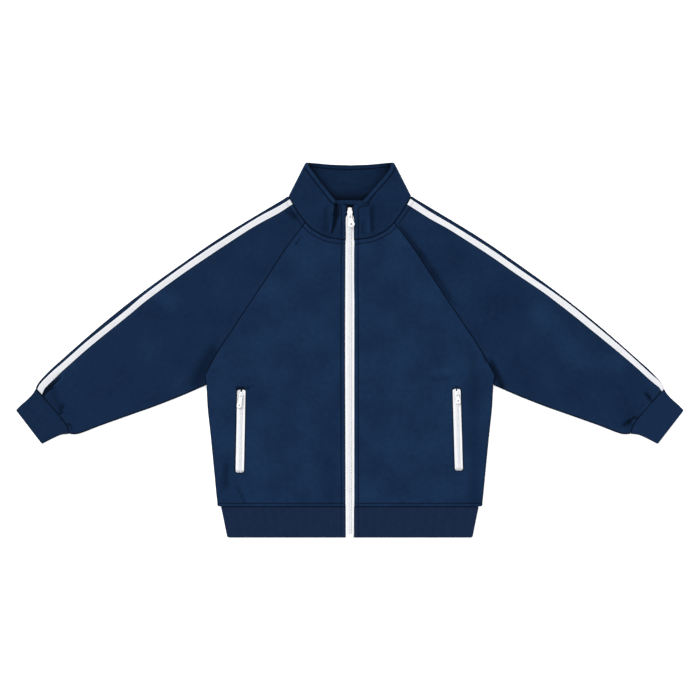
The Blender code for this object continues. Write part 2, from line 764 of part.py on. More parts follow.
def add_tape(name, frame, side, size, rows, level):
    # rows give the distance down the zip and the half width there
    over = []
    for s, half in rows:
        middle = (size.split + half) / 2
        line = []
        for a in (size.split, middle, half):
            place = frame.place(side * a, s)
            line.append(Vector((place.x, place.y, level(place))))
        over.append(line)
    under = [[p - Vector((0, 0, TAPE)) for p in line] for line in over]
    add_wall(name, over, under, "white_tape")


def add_chain(name, frame, size, stations, level):
    # a bar with eased upper corners that follows the tape's surface
    wide = size.chain
    narrow = size.chain - CHAIN_EASE
    tall = size.chain_height
    section = [(-wide, 0), (-wide, tall - CHAIN_EASE), (-narrow, tall),
               (narrow, tall), (wide, tall - CHAIN_EASE), (wide, 0)]
    bm = bmesh.new()
    loops = []
    for s in stations:
        base = level(frame.place(0, s)) + GAP
        loop = []
        for a, z in section:
            place = frame.place(a, s)
            loop.append(bm.verts.new(Vector((place.x, place.y, base + z)) * MM))
        loops.append(loop)
    for low, high in zip(loops, loops[1:]):
        for i in range(len(low)):
            k = (i + 1) % len(low)
            bm.faces.new((low[i], low[k], high[k], high[i]))
    bm.faces.new(loops[0])
    bm.faces.new(loops[-1])
    add_object(name, bm, "white_plastic")


def add_slider(name, frame, size, start, tape_top):
    # two plates joined by a post, with the bridge that holds the pull, in the zip's own frame
    plate_low = GAP + size.chain_height + GAP
    plate_top = plate_low + PLATE
    axis_z = plate_top + BRIDGE_CLEAR
    low_top = -TAPE - GAP
    low_bottom = low_top - LOWER_PLATE
    wide = size.width
    tail = wide - PLATE_TAPER
    shoulder = size.length * PLATE_SHOULDER
    outline = [(-wide + PLATE_CORNER, 0), (-wide, -PLATE_CORNER), (-wide, -shoulder), (-tail, -size.length),
               (tail, -size.length), (wide, -shoulder), (wide, -PLATE_CORNER), (wide - PLATE_CORNER, 0)]
    slider = add_object(name, prism(outline, plate_low, plate_top), "white_enamel")
    post = size.split - GAP
    side_in = size.chain + GAP
    side_out = side_in + FLANGE
    side_end = size.length - PLATE_CORNER
    side_low = 2 * GAP
    bar_low = axis_z + BRIDGE_CLEAR
    inside = BRIDGE_CLEAR + BRIDGE_PLAY
    bridge_start = size.axis - inside - size.foot
    bridge_end = size.axis + inside + size.foot
    joined = plate_low + SUNK
    foot_low = plate_top - SUNK
    foot_top = bar_low + SUNK
    parts = [
        block(-tail, tail, PLATE_CORNER, size.length - PLATE_CORNER, low_bottom, low_top),
        block(-post, post, size.post_start, size.post_end, low_bottom + SUNK, joined),
        block(side_in, side_out, 2 * PLATE_CORNER, side_end, side_low, joined),
        block(-side_out, -side_in, 2 * PLATE_CORNER, side_end, side_low, joined),
        block(-BRIDGE_HALF, BRIDGE_HALF, bridge_start, bridge_start + size.foot, foot_low, foot_top),
        block(-BRIDGE_HALF, BRIDGE_HALF, bridge_end - size.foot, bridge_end, foot_low, foot_top),
        block(-BRIDGE_HALF, BRIDGE_HALF, bridge_start, bridge_end, bar_low, bar_low + BRIDGE_BAR),
    ]
    combine(slider, parts, "UNION")
    place = frame.place(0, start)
    slider.location = Vector((place.x, place.y, tape_top)) * MM
    slider.rotation_euler.z = frame.turn
    pivot = frame.place(0, start + size.axis)
    return Vector((pivot.x, pivot.y, tape_top + axis_z))


def add_pull(name, frame, size, pivot):
    # a flat tab with a window for the bridge; its origin is the hinge line through the bridge
    half = PULL_THICKNESS / 2
    far = size.pull_length - half
    neck = size.window + PULL_NECK
    wide = neck + PULL_FLARE
    width = size.pull_width
    inset = PULL_ROUND / 3
    outline = [(-size.eye, half), (-size.eye, -neck), (-width, -wide), (-width, -far + PULL_ROUND),
               (-width + inset, -far + inset), (-width + PULL_ROUND, -far),
               (width - PULL_ROUND, -far), (width - inset, -far + inset),
               (width, -far + PULL_ROUND), (width, -wide), (size.eye, -neck), (size.eye, half)]
    pull = add_object(name, prism(outline, -half, half), "white_enamel")
    slot = BRIDGE_HALF + 2 * GAP
    window = block(-slot, slot, half, size.window, -PULL_THICKNESS, PULL_THICKNESS)
    corners = [2 * pi * k / PULL_HOLE_SIDES for k in range(PULL_HOLE_SIDES)]
    hole = [(PULL_HOLE * cos(angle), PULL_HOLE * sin(angle) - far + PULL_HOLE_FROM_END) for angle in corners]
    combine(pull, [window, prism(hole, -PULL_THICKNESS, PULL_THICKNESS)], "DIFFERENCE")
    pull.location = pivot * MM
    pull.rotation_euler.z = frame.turn


def make_front_zip():
    frame = ZipFrame((0, FRONT_ZIP_TOP), (0, FRONT_ZIP_END))
    size = FRONT_ZIP

    def level(place):
        return TAPE_TOP + zip_lift(place.y)

    narrow = ZIP_OPENING - TAPE_CLEAR
    neck = FRONT_ZIP_TOP - NECK_AT_ZIP[1]
    wide_top = neck + TAPE_STEP
    wide_end = FRONT_ZIP_TOP - HEM_SEAM_Y - TAPE_STEP
    rows = []
    for k in range(FRONT_ZIP_STEPS + 1):
        s = wide_top * k / FRONT_ZIP_STEPS
        rows.append((s, zip_opening(FRONT_ZIP_TOP - s + TAPE_NARROWS_EARLY) - TAPE_CLEAR))
    rows += [(wide_top + TAPE_STEP, size.reach), (wide_end - TAPE_STEP, size.reach)]
    rows += [(wide_end, narrow), (frame.length, narrow)]
    add_tape("zip_tape_left", frame, 1, size, rows, level)
    add_tape("zip_tape_right", frame, -1, size, rows, level)
    start = FRONT_ZIP_TOP - SLIDER_TOP
    chain_start = start + size.post_end + GAP
    # short steps where the collar lifts the zip, then straight down to the box
    stations = [chain_start + (neck - chain_start) * k / FRONT_ZIP_STEPS for k in range(FRONT_ZIP_STEPS + 1)]
    add_chain("zip_chain", frame, size, stations + [FRONT_ZIP_TOP - CHAIN_END], level)
    pivot = add_slider("zip_slider", frame, size, start, TAPE_TOP + zip_lift(SLIDER_TOP))
    add_pull("zip_pull", frame, size, pivot)
    box_low = TAPE_TOP + GAP
    box = [(-ZIP_BOX_HALF, FRONT_ZIP_END), (ZIP_BOX_HALF, FRONT_ZIP_END),
           (ZIP_BOX_HALF, CHAIN_END - GAP), (-ZIP_BOX_HALF, CHAIN_END - GAP)]
    add_object("zip_box", prism(box, box_low, box_low + ZIP_BOX_HEIGHT), "white_plastic")


def make_pocket_zip(pocket):
    frame = pocket_frame(pocket)
    size = POCKET_ZIP

    def level(place):
        return front_height(place.x, place.y) - CLOTH - GAP

    tape_length = frame.length + 2 * TAPE_PAST_SLOT
    steps = range(POCKET_ZIP_STEPS + 1)
    rows = [(tape_length * k / POCKET_ZIP_STEPS - TAPE_PAST_SLOT, size.reach) for k in steps]
    add_tape(pocket.name + "_tape_a", frame, 1, size, rows, level)
    add_tape(pocket.name + "_tape_b", frame, -1, size, rows, level)
    chain_start = SLIDER_FROM_SLOT + size.post_end + GAP
    chain_length = frame.length - CHAIN_SHORT_OF_SLOT - chain_start
    stations = [chain_start + chain_length * k / POCKET_ZIP_STEPS for k in steps]
    add_chain(pocket.name + "_chain", frame, size, stations, level)
    tape_top = level(frame.place(0, SLIDER_FROM_SLOT + size.length / 2))
    pivot = add_slider(pocket.name + "_slider", frame, size, SLIDER_FROM_SLOT, tape_top)
    add_pull(pocket.name + "_pull", frame, size, pivot)


def make_jacket():
    for obj in list(bpy.data.objects):
        bpy.data.objects.remove(obj)
    for pocket in POCKETS:
        make_front(pocket.side, pocket)
        make_sleeve(pocket.side)
        make_cuff(pocket.side)
        make_pocket_zip(pocket)
    make_back()
    make_collar()
    make_hem_band()
    make_front_zip()


make_jacket()
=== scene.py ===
import math

import bpy
import numpy as np
from mathutils.bvhtree import BVHTree
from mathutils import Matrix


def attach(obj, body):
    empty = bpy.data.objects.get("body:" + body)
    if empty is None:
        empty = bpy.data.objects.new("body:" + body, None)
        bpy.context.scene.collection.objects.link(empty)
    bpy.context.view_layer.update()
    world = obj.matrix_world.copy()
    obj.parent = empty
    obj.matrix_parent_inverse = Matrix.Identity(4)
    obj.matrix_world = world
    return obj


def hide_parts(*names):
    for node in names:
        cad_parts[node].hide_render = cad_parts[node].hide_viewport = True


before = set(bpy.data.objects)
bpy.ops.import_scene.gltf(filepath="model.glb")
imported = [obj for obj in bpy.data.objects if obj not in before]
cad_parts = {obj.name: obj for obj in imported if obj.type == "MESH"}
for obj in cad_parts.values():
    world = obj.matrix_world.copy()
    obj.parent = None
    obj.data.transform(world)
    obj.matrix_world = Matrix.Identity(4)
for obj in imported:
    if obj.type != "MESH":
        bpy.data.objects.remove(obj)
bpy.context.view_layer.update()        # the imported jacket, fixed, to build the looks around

# Lengths are in millimetres until a mesh is made.
# x runs toward the wearer's left, y toward the collar, z up from the floor.
mm = 0.001
left, right = 1, -1      # the wearer's sides
words = {left: "left", right: "right"}
flip = np.array([-1, 1])             # turns a plan over to the other side

jacket = {
    "cloth": 1.3,            # thickness of the tricot
    "gap": 0.03,             # from a panel's edge to the middle of its seam
    "layerTop": 5.8,         # height of the upper layer's face
    "foldRadius": 2.9,
    "zipOpening": 6.6,       # half of the strip between the two fronts
    "zipOpeningAtTop": 5.1,
    "zipNarrows": (198.0, 208.0),
    "zipCloses": (216.9, 218.5),
    "hemSeam": -234.0,
    "neckLevel": 166.1,      # of the seam below the collar, at the zip
    "zipTop": 216.5,
    "zipBottom": -280.3,
    "underarm": (214.8, -51.5),
    "zipStitch": 12.75,      # the topstitch beside the zip, from the middle
    "neckStitch": 6.75,
    "hemStitch": 5.4,
    "rimStitch": 7.0,
}

corners = {
    "raglanTop": (66.5, 192.0), "raglanTopBack": (62.0, 219.5), "shoulder": (91.9, 231.6),
    "overlap": (217.0, -37.0), "collar": (66.1, 282.6),
    "cuffTop": (471.0, -57.0), "cuffBottom": (420.6, -124.6),
    "cuffEndTop": (500.5, -89.0), "cuffEndBottom": (461.3, -139.8),
}

outlines = {
    "neckFront": [(6.8, 166.1), (21, 167.9), (34.5, 170.6), (47.3, 176.3), (57, 182.4), corners["raglanTop"]],
    "neckShoulder": [corners["raglanTop"], (80, 210.8), corners["shoulder"]],
    "neckBack": [(0, 211.5), (31, 213.5), corners["raglanTopBack"], (80, 225.4), corners["shoulder"]],
    "raglanFront": [corners["raglanTop"], (96.5, 152), (122, 112.8), (169, 42), (200.5, -6),
                    corners["overlap"]],
    "raglanBack": [corners["raglanTopBack"], (112, 150), (160, 72), (198, 0), corners["overlap"]],
    "sleeveTop": [corners["shoulder"], (134.5, 206.3), (194.6, 169.5), (254.6, 128.3), (314.6, 84.8),
                  (374.6, 36.8), (434.6, -15.8), (446.3, -26.2), (456.6, -36.4), (464.0, -44.5),
                  (468.4, -50.6), corners["cuffTop"]],
    "sleeveBottom": [jacket["underarm"], (254.3, -68.6), (298.0, -85.6), (314.3, -91.3), (374.3, -112.6),
                     (404.3, -124.0), (412.5, -125.4), corners["cuffBottom"]],
    "cuffSeam": [corners["cuffTop"], (458.4, -71.2), (449, -81.6), (439.6, -92.4), (430.6, -103.4),
                 (424.4, -112.5), corners["cuffBottom"]],
    "cuffSideTop": [corners["cuffTop"], (474.2, -62.9), (478.9, -68.4), (485, -74.4), (491.7, -80.2),
                    corners["cuffEndTop"]],
    "cuffSideBottom": [corners["cuffBottom"], (432.5, -126.1), (443.9, -130.8), corners["cuffEndBottom"]],
    "side": [(193.4, -234.0), (197.8, -232.0), (199.0, -225.0), (203.5, -180.0), (208.4, -130.0),
             (213.2, -85.0), jacket["underarm"]],
    "collarBackTop": [(0, 278.2), (30, 279.3), (48, 281.0), corners["collar"]],
}


# Lines and fields, worked on whole arrays at once

class SmoothLine:
    # a soft curve through a few points, read by distance along it
    def __init__(self, points, steps=12):
        p = np.asarray(points, float)
        if len(p) > 2 and steps:
            held = np.vstack([2 * p[0] - p[1], p, 2 * p[-1] - p[-2]])
            root = np.sqrt(np.maximum(np.linalg.norm(np.diff(held, axis=0), axis=1), 1e-6))
            t = np.linspace(0, 1, steps, endpoint=False)[:, None]
            spans = []
            for i in range(len(p) - 1):
                a, b, c, d = held[i:i + 4]
                before, span, after = root[i:i + 3]
                start = span * ((b - a) / before - (c - a) / (before + span) + (c - b) / span)
                end = span * ((c - b) / span - (d - b) / (span + after) + (d - c) / after)
                spans.append((2 * t**3 - 3 * t**2 + 1) * b + (t**3 - 2 * t**2 + t) * start
                             + (3 * t**2 - 2 * t**3) * c + (t**3 - t**2) * end)
            p = np.vstack(spans + [p[-1:]])
        self.points = p
        self.reach = np.concatenate([[0.0], np.cumsum(np.linalg.norm(np.diff(p, axis=0), axis=1))])
        self.length = self.reach[-1]

    def at(self, distance):
        return np.stack([np.interp(distance, self.reach, axis) for axis in self.points.T], -1)

    def part(self, share):
        return self.at(np.asarray(share) * self.length)

    def reversed(self):
        return SmoothLine(self.points[::-1], 0)

    def mirrored(self):
        return SmoothLine(self.points * flip, 0)

    def trimmed(self, start, end, step=2.0):
        count = max(int(abs(end - start) / step), 2)
        return SmoothLine(self.at(np.linspace(start, end, count)), 0)

    def beside(self, distance):
        # the line moved to its left by a distance
        along = np.gradient(self.points, self.reach, axis=0)
        along /= np.linalg.norm(along, axis=1)[:, None]
        return SmoothLine(self.points + distance * np.stack([-along[:, 1], along[:, 0]], -1), 0)

    def near(self, x, y):
        # distance from each point to the line, and how far along the line that is
        best = np.full(np.shape(x), 1e9)
        place = np.zeros(np.shape(x))
        for a, b, start, end in zip(self.points[:-1], self.points[1:], self.reach[:-1], self.reach[1:]):
            run = b - a
            share = np.clip(((x - a[0]) * run[0] + (y - a[1]) * run[1]) / (run @ run), 0, 1)
            away = np.hypot(x - a[0] - share * run[0], y - a[1] - share * run[1])
            closer = away < best
            best = np.where(closer, away, best)
            place = np.where(closer, start + share * (end - start), place)
        return best, place

    def away(self, x, y):
        return self.near(x, y)[0]


def joined(*lines):
    return SmoothLine(np.vstack([lines[0].points] + [line.points[1:] for line in lines[1:]]), 0)


def ease(low, high, value):
    share = np.clip((value - low) / (high - low), 0, 1)
    return share * share * (3 - 2 * share)


def bell(distance, width):
    return np.exp(-(distance / width)**2)


def rounding(distance, radius):
    # 1 at an edge, easing to 0 as a quarter circle does, a radius away from it
    inside = 1 - np.clip(distance / radius, 0, 1)
    return 1 - np.sqrt(1 - inside**2)


def toward(low, high, share):
    return low + (high - low) * share


def between(start, end, count):
    # even steps from start to end, without either of them
    return start + (end - start) * np.linspace(0, 1, count + 2)[1:-1]


def highest(*fields):
    return np.maximum.reduce(fields)


def meeting(first, second):
    # two halves side by side, the second turned over and sharing the first's last column
    return np.hstack([first, second[:, -2::-1]])


def ringOf(over, under):
    # two layers joined at both folds
    return np.hstack([over, under[:, -2:0:-1]])


line = {name: SmoothLine(points) for name, points in outlines.items()}
line["neck"] = joined(line["neckFront"], line["neckShoulder"])       # zip to shoulder, on the front
line["underarmEnd"] = SmoothLine([corners["overlap"], jacket["underarm"]])
line["sleeveHeadFront"] = joined(line["neckShoulder"].reversed(), line["raglanFront"], line["underarmEnd"])
neckBackAtRaglan = line["neckBack"].near(*corners["raglanTopBack"])[1]
line["neckBackShoulder"] = line["neckBack"].trimmed(line["neckBack"].length, float(neckBackAtRaglan))
line["neckBackMiddle"] = line["neckBack"].trimmed(0, float(neckBackAtRaglan))
line["sleeveHeadBack"] = joined(line["neckBackShoulder"], line["raglanBack"], line["underarmEnd"])
line["armEdge"] = joined(line["raglanFront"], line["underarmEnd"])
line["armEdgeBack"] = joined(line["raglanBack"], line["underarmEnd"])
line["stripeTop"] = SmoothLine([*outlines["sleeveTop"], (473.9, -65.0)])    # runs on past the cuff seam


def softened(rows, value, reach):
    # a table of (place, value) rows, read with its corners rounded off
    places, values = np.array(rows).T
    steps = np.linspace(-reach, reach, 7)
    return np.mean([np.interp(value + step, places, values) for step in steps], axis=0)


def coons(bottom, top, start, end, u, v):
    # fills four joined edges: u runs along bottom and top, v along start and end
    u3, v3 = u[..., None], v[..., None]
    mix = (1 - v3) * bottom.part(u) + v3 * top.part(u) + (1 - u3) * start.part(v) + u3 * end.part(v)
    c00, c10, c01, c11 = bottom.part(0), bottom.part(1), top.part(0), top.part(1)
    return mix - ((1 - u3) * (1 - v3) * c00 + u3 * (1 - v3) * c10 + (1 - u3) * v3 * c01 + u3 * v3 * c11)


def spread(length, near, far, count):
    # shares of a length: given distances close to each end, and even steps between
    length = np.asarray(length, float)[..., None]
    squeeze = np.minimum(1.0, 0.42 * length / max(near[-1], far[-1]))
    a = np.asarray(near) * squeeze
    b = length - np.asarray(far)[::-1] * squeeze
    return np.concatenate([a, between(a[..., -1:], b[..., :1], count), b], -1) / length


# Soft creases: a ridge or trough from one point to another, wearer's sides as signed x
creases = {
    "both": [
        # x1, y1, x2, y2, width at start, width at end, height
        (70, 60, 76, -60, 46, 60, 0.55), (120, 20, 178, -30, 20, 26, 0.5), (300, 10, 385, -55, 24, 30, 0.7),
        (250, 90, 350, 10, 16, 22, 0.5), (250, -30, 330, -62, 15, 18, -0.45),
        (392, -8, 436, -52, 9, 12, 0.55),
    ],
    left: [
        # below the underarm and at its fold
        (188, 44, 196, 12, 1.2, 2.6, 0.5), (196, 16, 205, -16, 2.6, 4.0, -1.2),
        (182, 30, 190, -10, 5, 8, 0.55), (182, -10, 184, -150, 9, 12, -0.55),
        (194, -20, 197, -120, 8, 9, 0.35), (120, -36, 154, -30, 4, 5, 0.45),
        (126, -44, 150, -40, 2.5, 3, -0.3),
        # above the hem seam
        (20, -216, 42, -218, 3.5, 4, 0.55), (22, -210, 44, -211, 3, 3, -0.3),
        (60, -221, 84, -223, 3, 4, 0.5), (84, -226, 104, -225, 3, 3, 0.45),
        (150, -196, 152, -228, 6, 6, 0.3),
        # sleeve head and cuff end
        (82, 174, 118, 116, 7, 9, 0.5), (440, -62, 447, -77, 3.2, 2.4, 0.9),
        (447, -64, 452, -80, 2.2, 1.8, -0.9), (421, -97, 430, -103, 3.4, 2.6, -1.1),
        (416, -106, 425, -111, 2.6, 2.2, 0.8), (432, -82, 439, -90, 3.0, 2.0, 0.5),
        (395, -92, 423, -96, 5, 4, 0.5), (280, 55, 330, 22, 16, 20, 0.5),
    ],
    right: [
        (-73, 170, -80, 159, 1.2, 1.6, -0.42), (-76, 172, -83, 160, 1.4, 1.8, 0.3),
        (-122.7, 131, -128, 113, 1.0, 1.6, -0.4), (-126, 130, -131, 113, 1.6, 2.0, 0.3),
        (-172, 75, -191, 14, 3.0, 4.0, 0.5), (-164, 60, -188, 10, 5, 6, -0.35),
        (-200, 10, -222, -40, 9, 12, -1.0), (-184, -170, -188, -210, 5, 6, -0.9),
        (-190, -150, -196, -205, 6, 7, 0.35),
        # above the pocket, and at its bag's corner
        (-157.5, -52.0, -145.4, -54.0, 1.5, 1.8, 0.42), (-158, -55.2, -146, -57.0, 1.1, 1.3, -0.3),
        (-168, -206, -160, -224, 1.6, 2.2, -0.42), (-172, -200, -165, -226, 2.5, 3.0, 0.35),
        (-158, -226, -146, -227, 2, 2, 0.3), (-44, -172, -16, -222, 9, 14, -0.55),
        (-70, -160, -40, -215, 14, 16, 0.35),
        # cuff end
        (-425.5, -32.0, -454.0, -64.0, 2.4, 2.0, 1.25), (-434.0, -36.0, -457.5, -63.5, 3.2, 2.6, -1.5),
        (-418, -62, -436, -76, 5, 4, -0.4), (-430, -88, -436, -96, 2.4, 2.0, -0.9),
        (-424, -92, -431, -101, 2.4, 2.0, 0.6), (-410, -98, -421, -108, 2.6, 2.2, -0.6),
        (-270, 85, -300, 65, 14, 16, 0.45),
    ],
}

# Slow unevenness of cloth that was pressed and laid down by hand
laidUneven = {"seed": 11, "waves": 14, "shortest": 26.0, "longest": 120.0, "height": 0.17}


def laidRelief(x, y):
    draw = np.random.default_rng(laidUneven["seed"])
    total = np.zeros(np.shape(x))
    for i in range(laidUneven["waves"]):
        share = i / (laidUneven["waves"] - 1)
        wave = laidUneven["shortest"] * (laidUneven["longest"] / laidUneven["shortest"])**share
        turn, phase, bend = draw.uniform(0, math.tau, 3)
        swing = 0.35 * np.sin((x * math.cos(bend) + y * math.sin(bend)) / wave * 2.1 + phase)
        total += laidUneven["height"] * (wave / laidUneven["longest"])**0.6 * np.sin(
            math.tau * (x * math.cos(turn) + y * math.sin(turn)) / wave + phase + swing * 3)
    return total


def strokes(rows, x, y):
    # the sum of soft strokes, each from one point to another with its own widths and height
    total = np.zeros(np.shape(x))
    for x1, y1, x2, y2, widthStart, widthEnd, height in rows:
        run = np.array([x2 - x1, y2 - y1])
        held = np.clip(((x - x1) * run[0] + (y - y1) * run[1]) / (run @ run), 0, 1)
        away = np.hypot(x - x1 - held * run[0], y - y1 - held * run[1])
        total += height * bell(away, toward(widthStart, widthEnd, held))
    return total


def creaseRelief(x, y, side):
    return strokes(creases["both"], np.abs(x), y) + strokes(creases[side], x, y)


# Painted shade where the cloth lies a little darker in the shadow of folds, seams and overlaps, or painted
# highlight, lighter, when below zero: strokes too
paintedLightAndShade = {
    "front": [
        (186, -10, 187, -225, 8, 9, 0.2), (-185, -172, -186, -202, 4, 5, 0.3),
        (-30, -170, -30, -225, 12, 15, 0.14), (-152.6, -53.3, -144.8, -52.4, 0.9, 1.2, 0.6),
        (-154.4, -57.2, -152.4, -57.9, 1.0, 1.0, 0.7), (-170, -57.8, -165.5, -57.0, 0.9, 0.9, 1.0),
        (-163.5, -57.2, -157.0, -56.4, 0.9, 1.0, 1.0), (-72.8, 169.9, -80.3, 159.4, 0.9, 1.3, 0.5),
        (-122.7, 130.9, -127.8, 112.9, 0.9, 1.4, 0.4), (-171.8, 75.4, -191.3, 13.9, 3.0, 4.0, 0.2),
        (-168, -205, -158, -226, 1.2, 1.8, 0.45), (188, 44, 196, 12, 1.5, 2.5, -0.3),
        (197, 12, 205, -14, 2.5, 4.0, 0.5), (23, -217, 41, -217, 2.0, 2.0, -0.3),
        (85, -226, 101, -226, 2.2, 2.2, -0.3), (60, -225, 72, -225, 2, 3, -0.2),
        (121, -33, 154, -30, 3.0, 3.5, -0.2), (124, -44, 150, -41, 2.0, 2.5, 0.15),
    ],
    "sleeve": [
        (77, 184, 106, 145.5, 3.2, 4.6, 0.38), (107, 144, 126, 115, 4.6, 5.2, 0.38),
        (127, 113, 152, 75, 5, 4, 0.3), (213, -20, 227, -52, 4, 5, 0.75), (-204, 0, -228, -46, 9, 11, 0.38),
        (-92, 208, -83, 201, 3.5, 4.5, 0.5), (-300, 90, -270, 76, 11, 13, -0.32),
        (285, 52, 350, -20, 15, 17, -0.25), (350, -20, 395, -20, 14, 14, -0.2),
        # painted shade in the deep fold beside the tape at the wearer's right cuff, a painted highlight on
        # the ridge along it, and painted shade in the puckers below
        (-434, -41, -446, -52.5, 1.6, 3.0, 0.95), (-448, -55, -459.5, -67.5, 3.4, 2.6, 1.6),
        (-429, -39.5, -442.4, -53.6, 1.1, 1.0, -0.9), (-444, -55.5, -455.6, -68.6, 1.0, 0.9, -0.9),
        (-430.5, -82, -433, -90, 2.6, 2.0, 0.5), (-435, -94.5, -429.5, -92.5, 0.9, 0.8, 0.8),
        (-424, -109.6, -420, -109, 0.9, 1.0, 0.7), (-420, -109, -416, -117, 1.2, 1.6, 0.5),
        (-444, -64, -435, -84, 6, 6, 0.2),
        # painted shade in the puckers at the wearer's left cuff, with a few painted highlights
        (410, -111, 418, -106, 2.0, 3.4, 0.85), (418, -106, 425, -100.5, 2.6, 1.4, 0.85),
        (425, -100.3, 432.6, -100.6, 1.3, 1.0, 0.9), (421, -105, 428, -104.5, 2, 2, -0.3),
        (429.5, -104, 429, -108, 1, 1, 0.5), (443, -64, 448, -69.5, 2.3, 2.4, 0.75),
        (448, -69.5, 451.5, -75, 1.6, 1, 0.9), (436, -83, 441, -80.5, 1.2, 1.2, 0.4),
        (448, -79, 436, -99, 2.2, 2.2, -0.3),
    ],
    "collar": [
        # the pleat beside the zip: its painted shadow, darker down the middle, and a painted highlight on the
        # ridge on its left
        (-20.0, 217.5, -20.2, 207, 3.0, 3.8, 0.95), (-20.4, 203, -23.2, 188, 3.6, 2.5, 1.0),
        (-24.2, 184, -27.6, 176, 2.1, 0.9, 0.85), (-18.6, 213, -19.0, 200, 1.5, 1.5, 0.6),
        (-24.6, 219, -25.0, 205, 0.9, 0.9, -0.35), (-25.6, 200, -30.0, 177, 0.9, 0.9, -0.35),
        (-36, 213, -37, 182, 3.5, 4.5, 0.2), (33, 213, 33.5, 182, 3.6, 3.0, 0.42),
        (-8.2, 219.6, -1.2, 217.3, 0.8, 1.2, 1.0), (1.4, 217.3, 6.9, 219.2, 1.1, 0.7, 0.9),
        (1.0, 221.4, 6.6, 223.4, 0.6, 0.6, 0.3), (17.5, 222.6, 21.5, 222.4, 0.8, 0.8, 0.4),
        (19.4, 192, 19.0, 176, 1.0, 1.2, 0.3), (27, 214, 28, 180, 2.5, 2.5, -0.25),
    ],
    # painted shade on the inside of the back: one beside the rim on each side, one above the level band
    "inside": {"base": 0.28, "rim": (0.55, 3.6), "corner": (0.4, 13.0), "band": (0.6, 8.0)},
}


# Meshes

def paintedMesh(name, points, faces, finish, values=None, grain=None, smooth=50):
    mesh = bpy.data.meshes.new(name)
    mesh.from_pydata((np.asarray(points) * mm).tolist(), [], [list(face) for face in faces])
    for key, field in (values or {}).items():
        mesh.attributes.new(key, "FLOAT", "POINT").data.foreach_set("value", np.asarray(field, np.float32))
    if grain is not None:
        corner = np.empty(len(mesh.loops), np.int32)
        mesh.loops.foreach_get("vertex_index", corner)
        mesh.uv_layers.new(name="grain").data.foreach_set("uv", (grain[corner] * mm).ravel())
    mesh.shade_smooth()
    mesh.set_sharp_from_angle(angle=math.radians(smooth))
    mesh.materials.append(finish)
    made = bpy.data.objects.new(name, mesh)
    bpy.context.scene.collection.objects.link(made)
    return made


def faceNormals(grid, ring, up):
    # the grid's own normals, turned to the side that shows
    if ring:
        wide = np.concatenate([grid[:, -1:], grid, grid[:, :1]], 1)
        across = (wide[:, 2:] - wide[:, :-2])
    else:
        across = np.gradient(grid, axis=1)
    normal = np.cross(across, np.gradient(grid, axis=0))
    normal /= np.maximum(np.linalg.norm(normal, axis=-1), 1e-9)[..., None]
    if up is None:
        agrees = np.sum(normal * (grid - grid.mean(axis=(0, 1))) * np.array([0, 0, 1]))
    else:
        agrees = np.sum(normal[..., 2]) * up
    return normal if agrees > 0 else -normal


def shell(name, node, side, outer, inner, finish, shade, under=0.0, ring=False, keep=None, turn=0.0,
          grain=None):
    # a closed sheet between two grids of points, with walls along every open edge
    outer, inner = onSide(outer, side), onSide(inner, side)
    rows, columns = outer.shape[:2]
    index = np.arange(rows * columns).reshape(rows, columns)
    if ring:
        index = np.hstack([index, index[:, :1]])
    below = index + rows * columns
    cells = np.ones((rows - 1, index.shape[1] - 1), bool) if keep is None else keep
    square = (np.s_[:-1, :-1], np.s_[:-1, 1:], np.s_[1:, 1:], np.s_[1:, :-1])
    faces = [np.stack([index[at] for at in square], -1)[cells],
             np.stack([below[at] for at in square[::-1]], -1)[cells]]

    def wall(start, end, where):
        faces.append(np.stack([index[start], index[end], below[end], below[start]], -1)[where])

    lower = np.vstack([np.zeros_like(cells[:1]), cells])
    upper = np.vstack([cells, np.zeros_like(cells[:1])])
    wall(np.s_[:, 1:], np.s_[:, :-1], upper & ~lower)
    wall(np.s_[:, :-1], np.s_[:, 1:], lower & ~upper)
    blank = np.zeros_like(cells[:, :1])
    before = np.hstack([cells[:, -1:] if ring else blank, cells])
    after = np.hstack([cells, cells[:, :1] if ring else blank])
    wall(np.s_[:-1], np.s_[1:], after & ~before)
    wall(np.s_[1:], np.s_[:-1], before & ~after)
    faces = np.vstack(faces)
    points = np.vstack([outer.reshape(-1, 3), inner.reshape(-1, 3)])
    used, faces = np.unique(faces, return_inverse=True)
    faces, points = faces.reshape(-1, 4), points[used]
    p = points[faces]
    volume = sum(np.sum(np.cross(p[:, 0], p[:, i]) * p[:, i + 1]) for i in (1, 2))
    if volume < 0:
        faces = faces[:, ::-1]
    # the shade attribute: painted shade where above zero, painted highlight where below, for the face and, as
    # under, for the inside
    paintedShading = np.concatenate([shade.ravel(), (under + np.zeros((rows, columns))).ravel()])[used]
    if grain is None:
        cos, sin = math.cos(turn), math.sin(turn)
        grain = points[:, :2] @ np.array([(cos, -sin), (sin, cos)])
    else:
        grain = np.vstack([grain.reshape(-1, 2)] * 2)[used]
    piece = paintedMesh(name, points, faces.tolist(), finishes[finish], {"shade": paintedShading}, grain)
    return dressed(piece, node)


def onSide(grid, side):
    return grid * np.array([side, 1, 1])


def dressed(piece, node=None, body="jacket"):
    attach(piece, body)
    if node:
        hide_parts(node)
    return piece


def clothPiece(name, node, side, grid, detail, up=None, ring=False, **given):
    # a panel of tricot: its face is the grid with its detail, its inside a cloth's thickness below the grid
    normal = faceNormals(grid, ring, up)
    return shell(name, node, side, grid + normal * detail[..., None], grid - normal * jacket["cloth"],
                 "tricot", ring=ring, **given)


def areaOf(*edges):
    # flat area inside joined lines, in square metres
    p = np.vstack([edge.points for edge in edges])
    x, y = p[:, 0], p[:, 1]
    return abs(np.sum(x * np.roll(y, -1) - y * np.roll(x, -1))) / 2 * mm * mm


# Node benches: one class lays nodes, the other lets their values be written as sums

def operator(operation, reflected=False):
    def work(self, other):
        return self.maths(operation, other, self) if reflected else self.maths(operation, self, other)
    return work


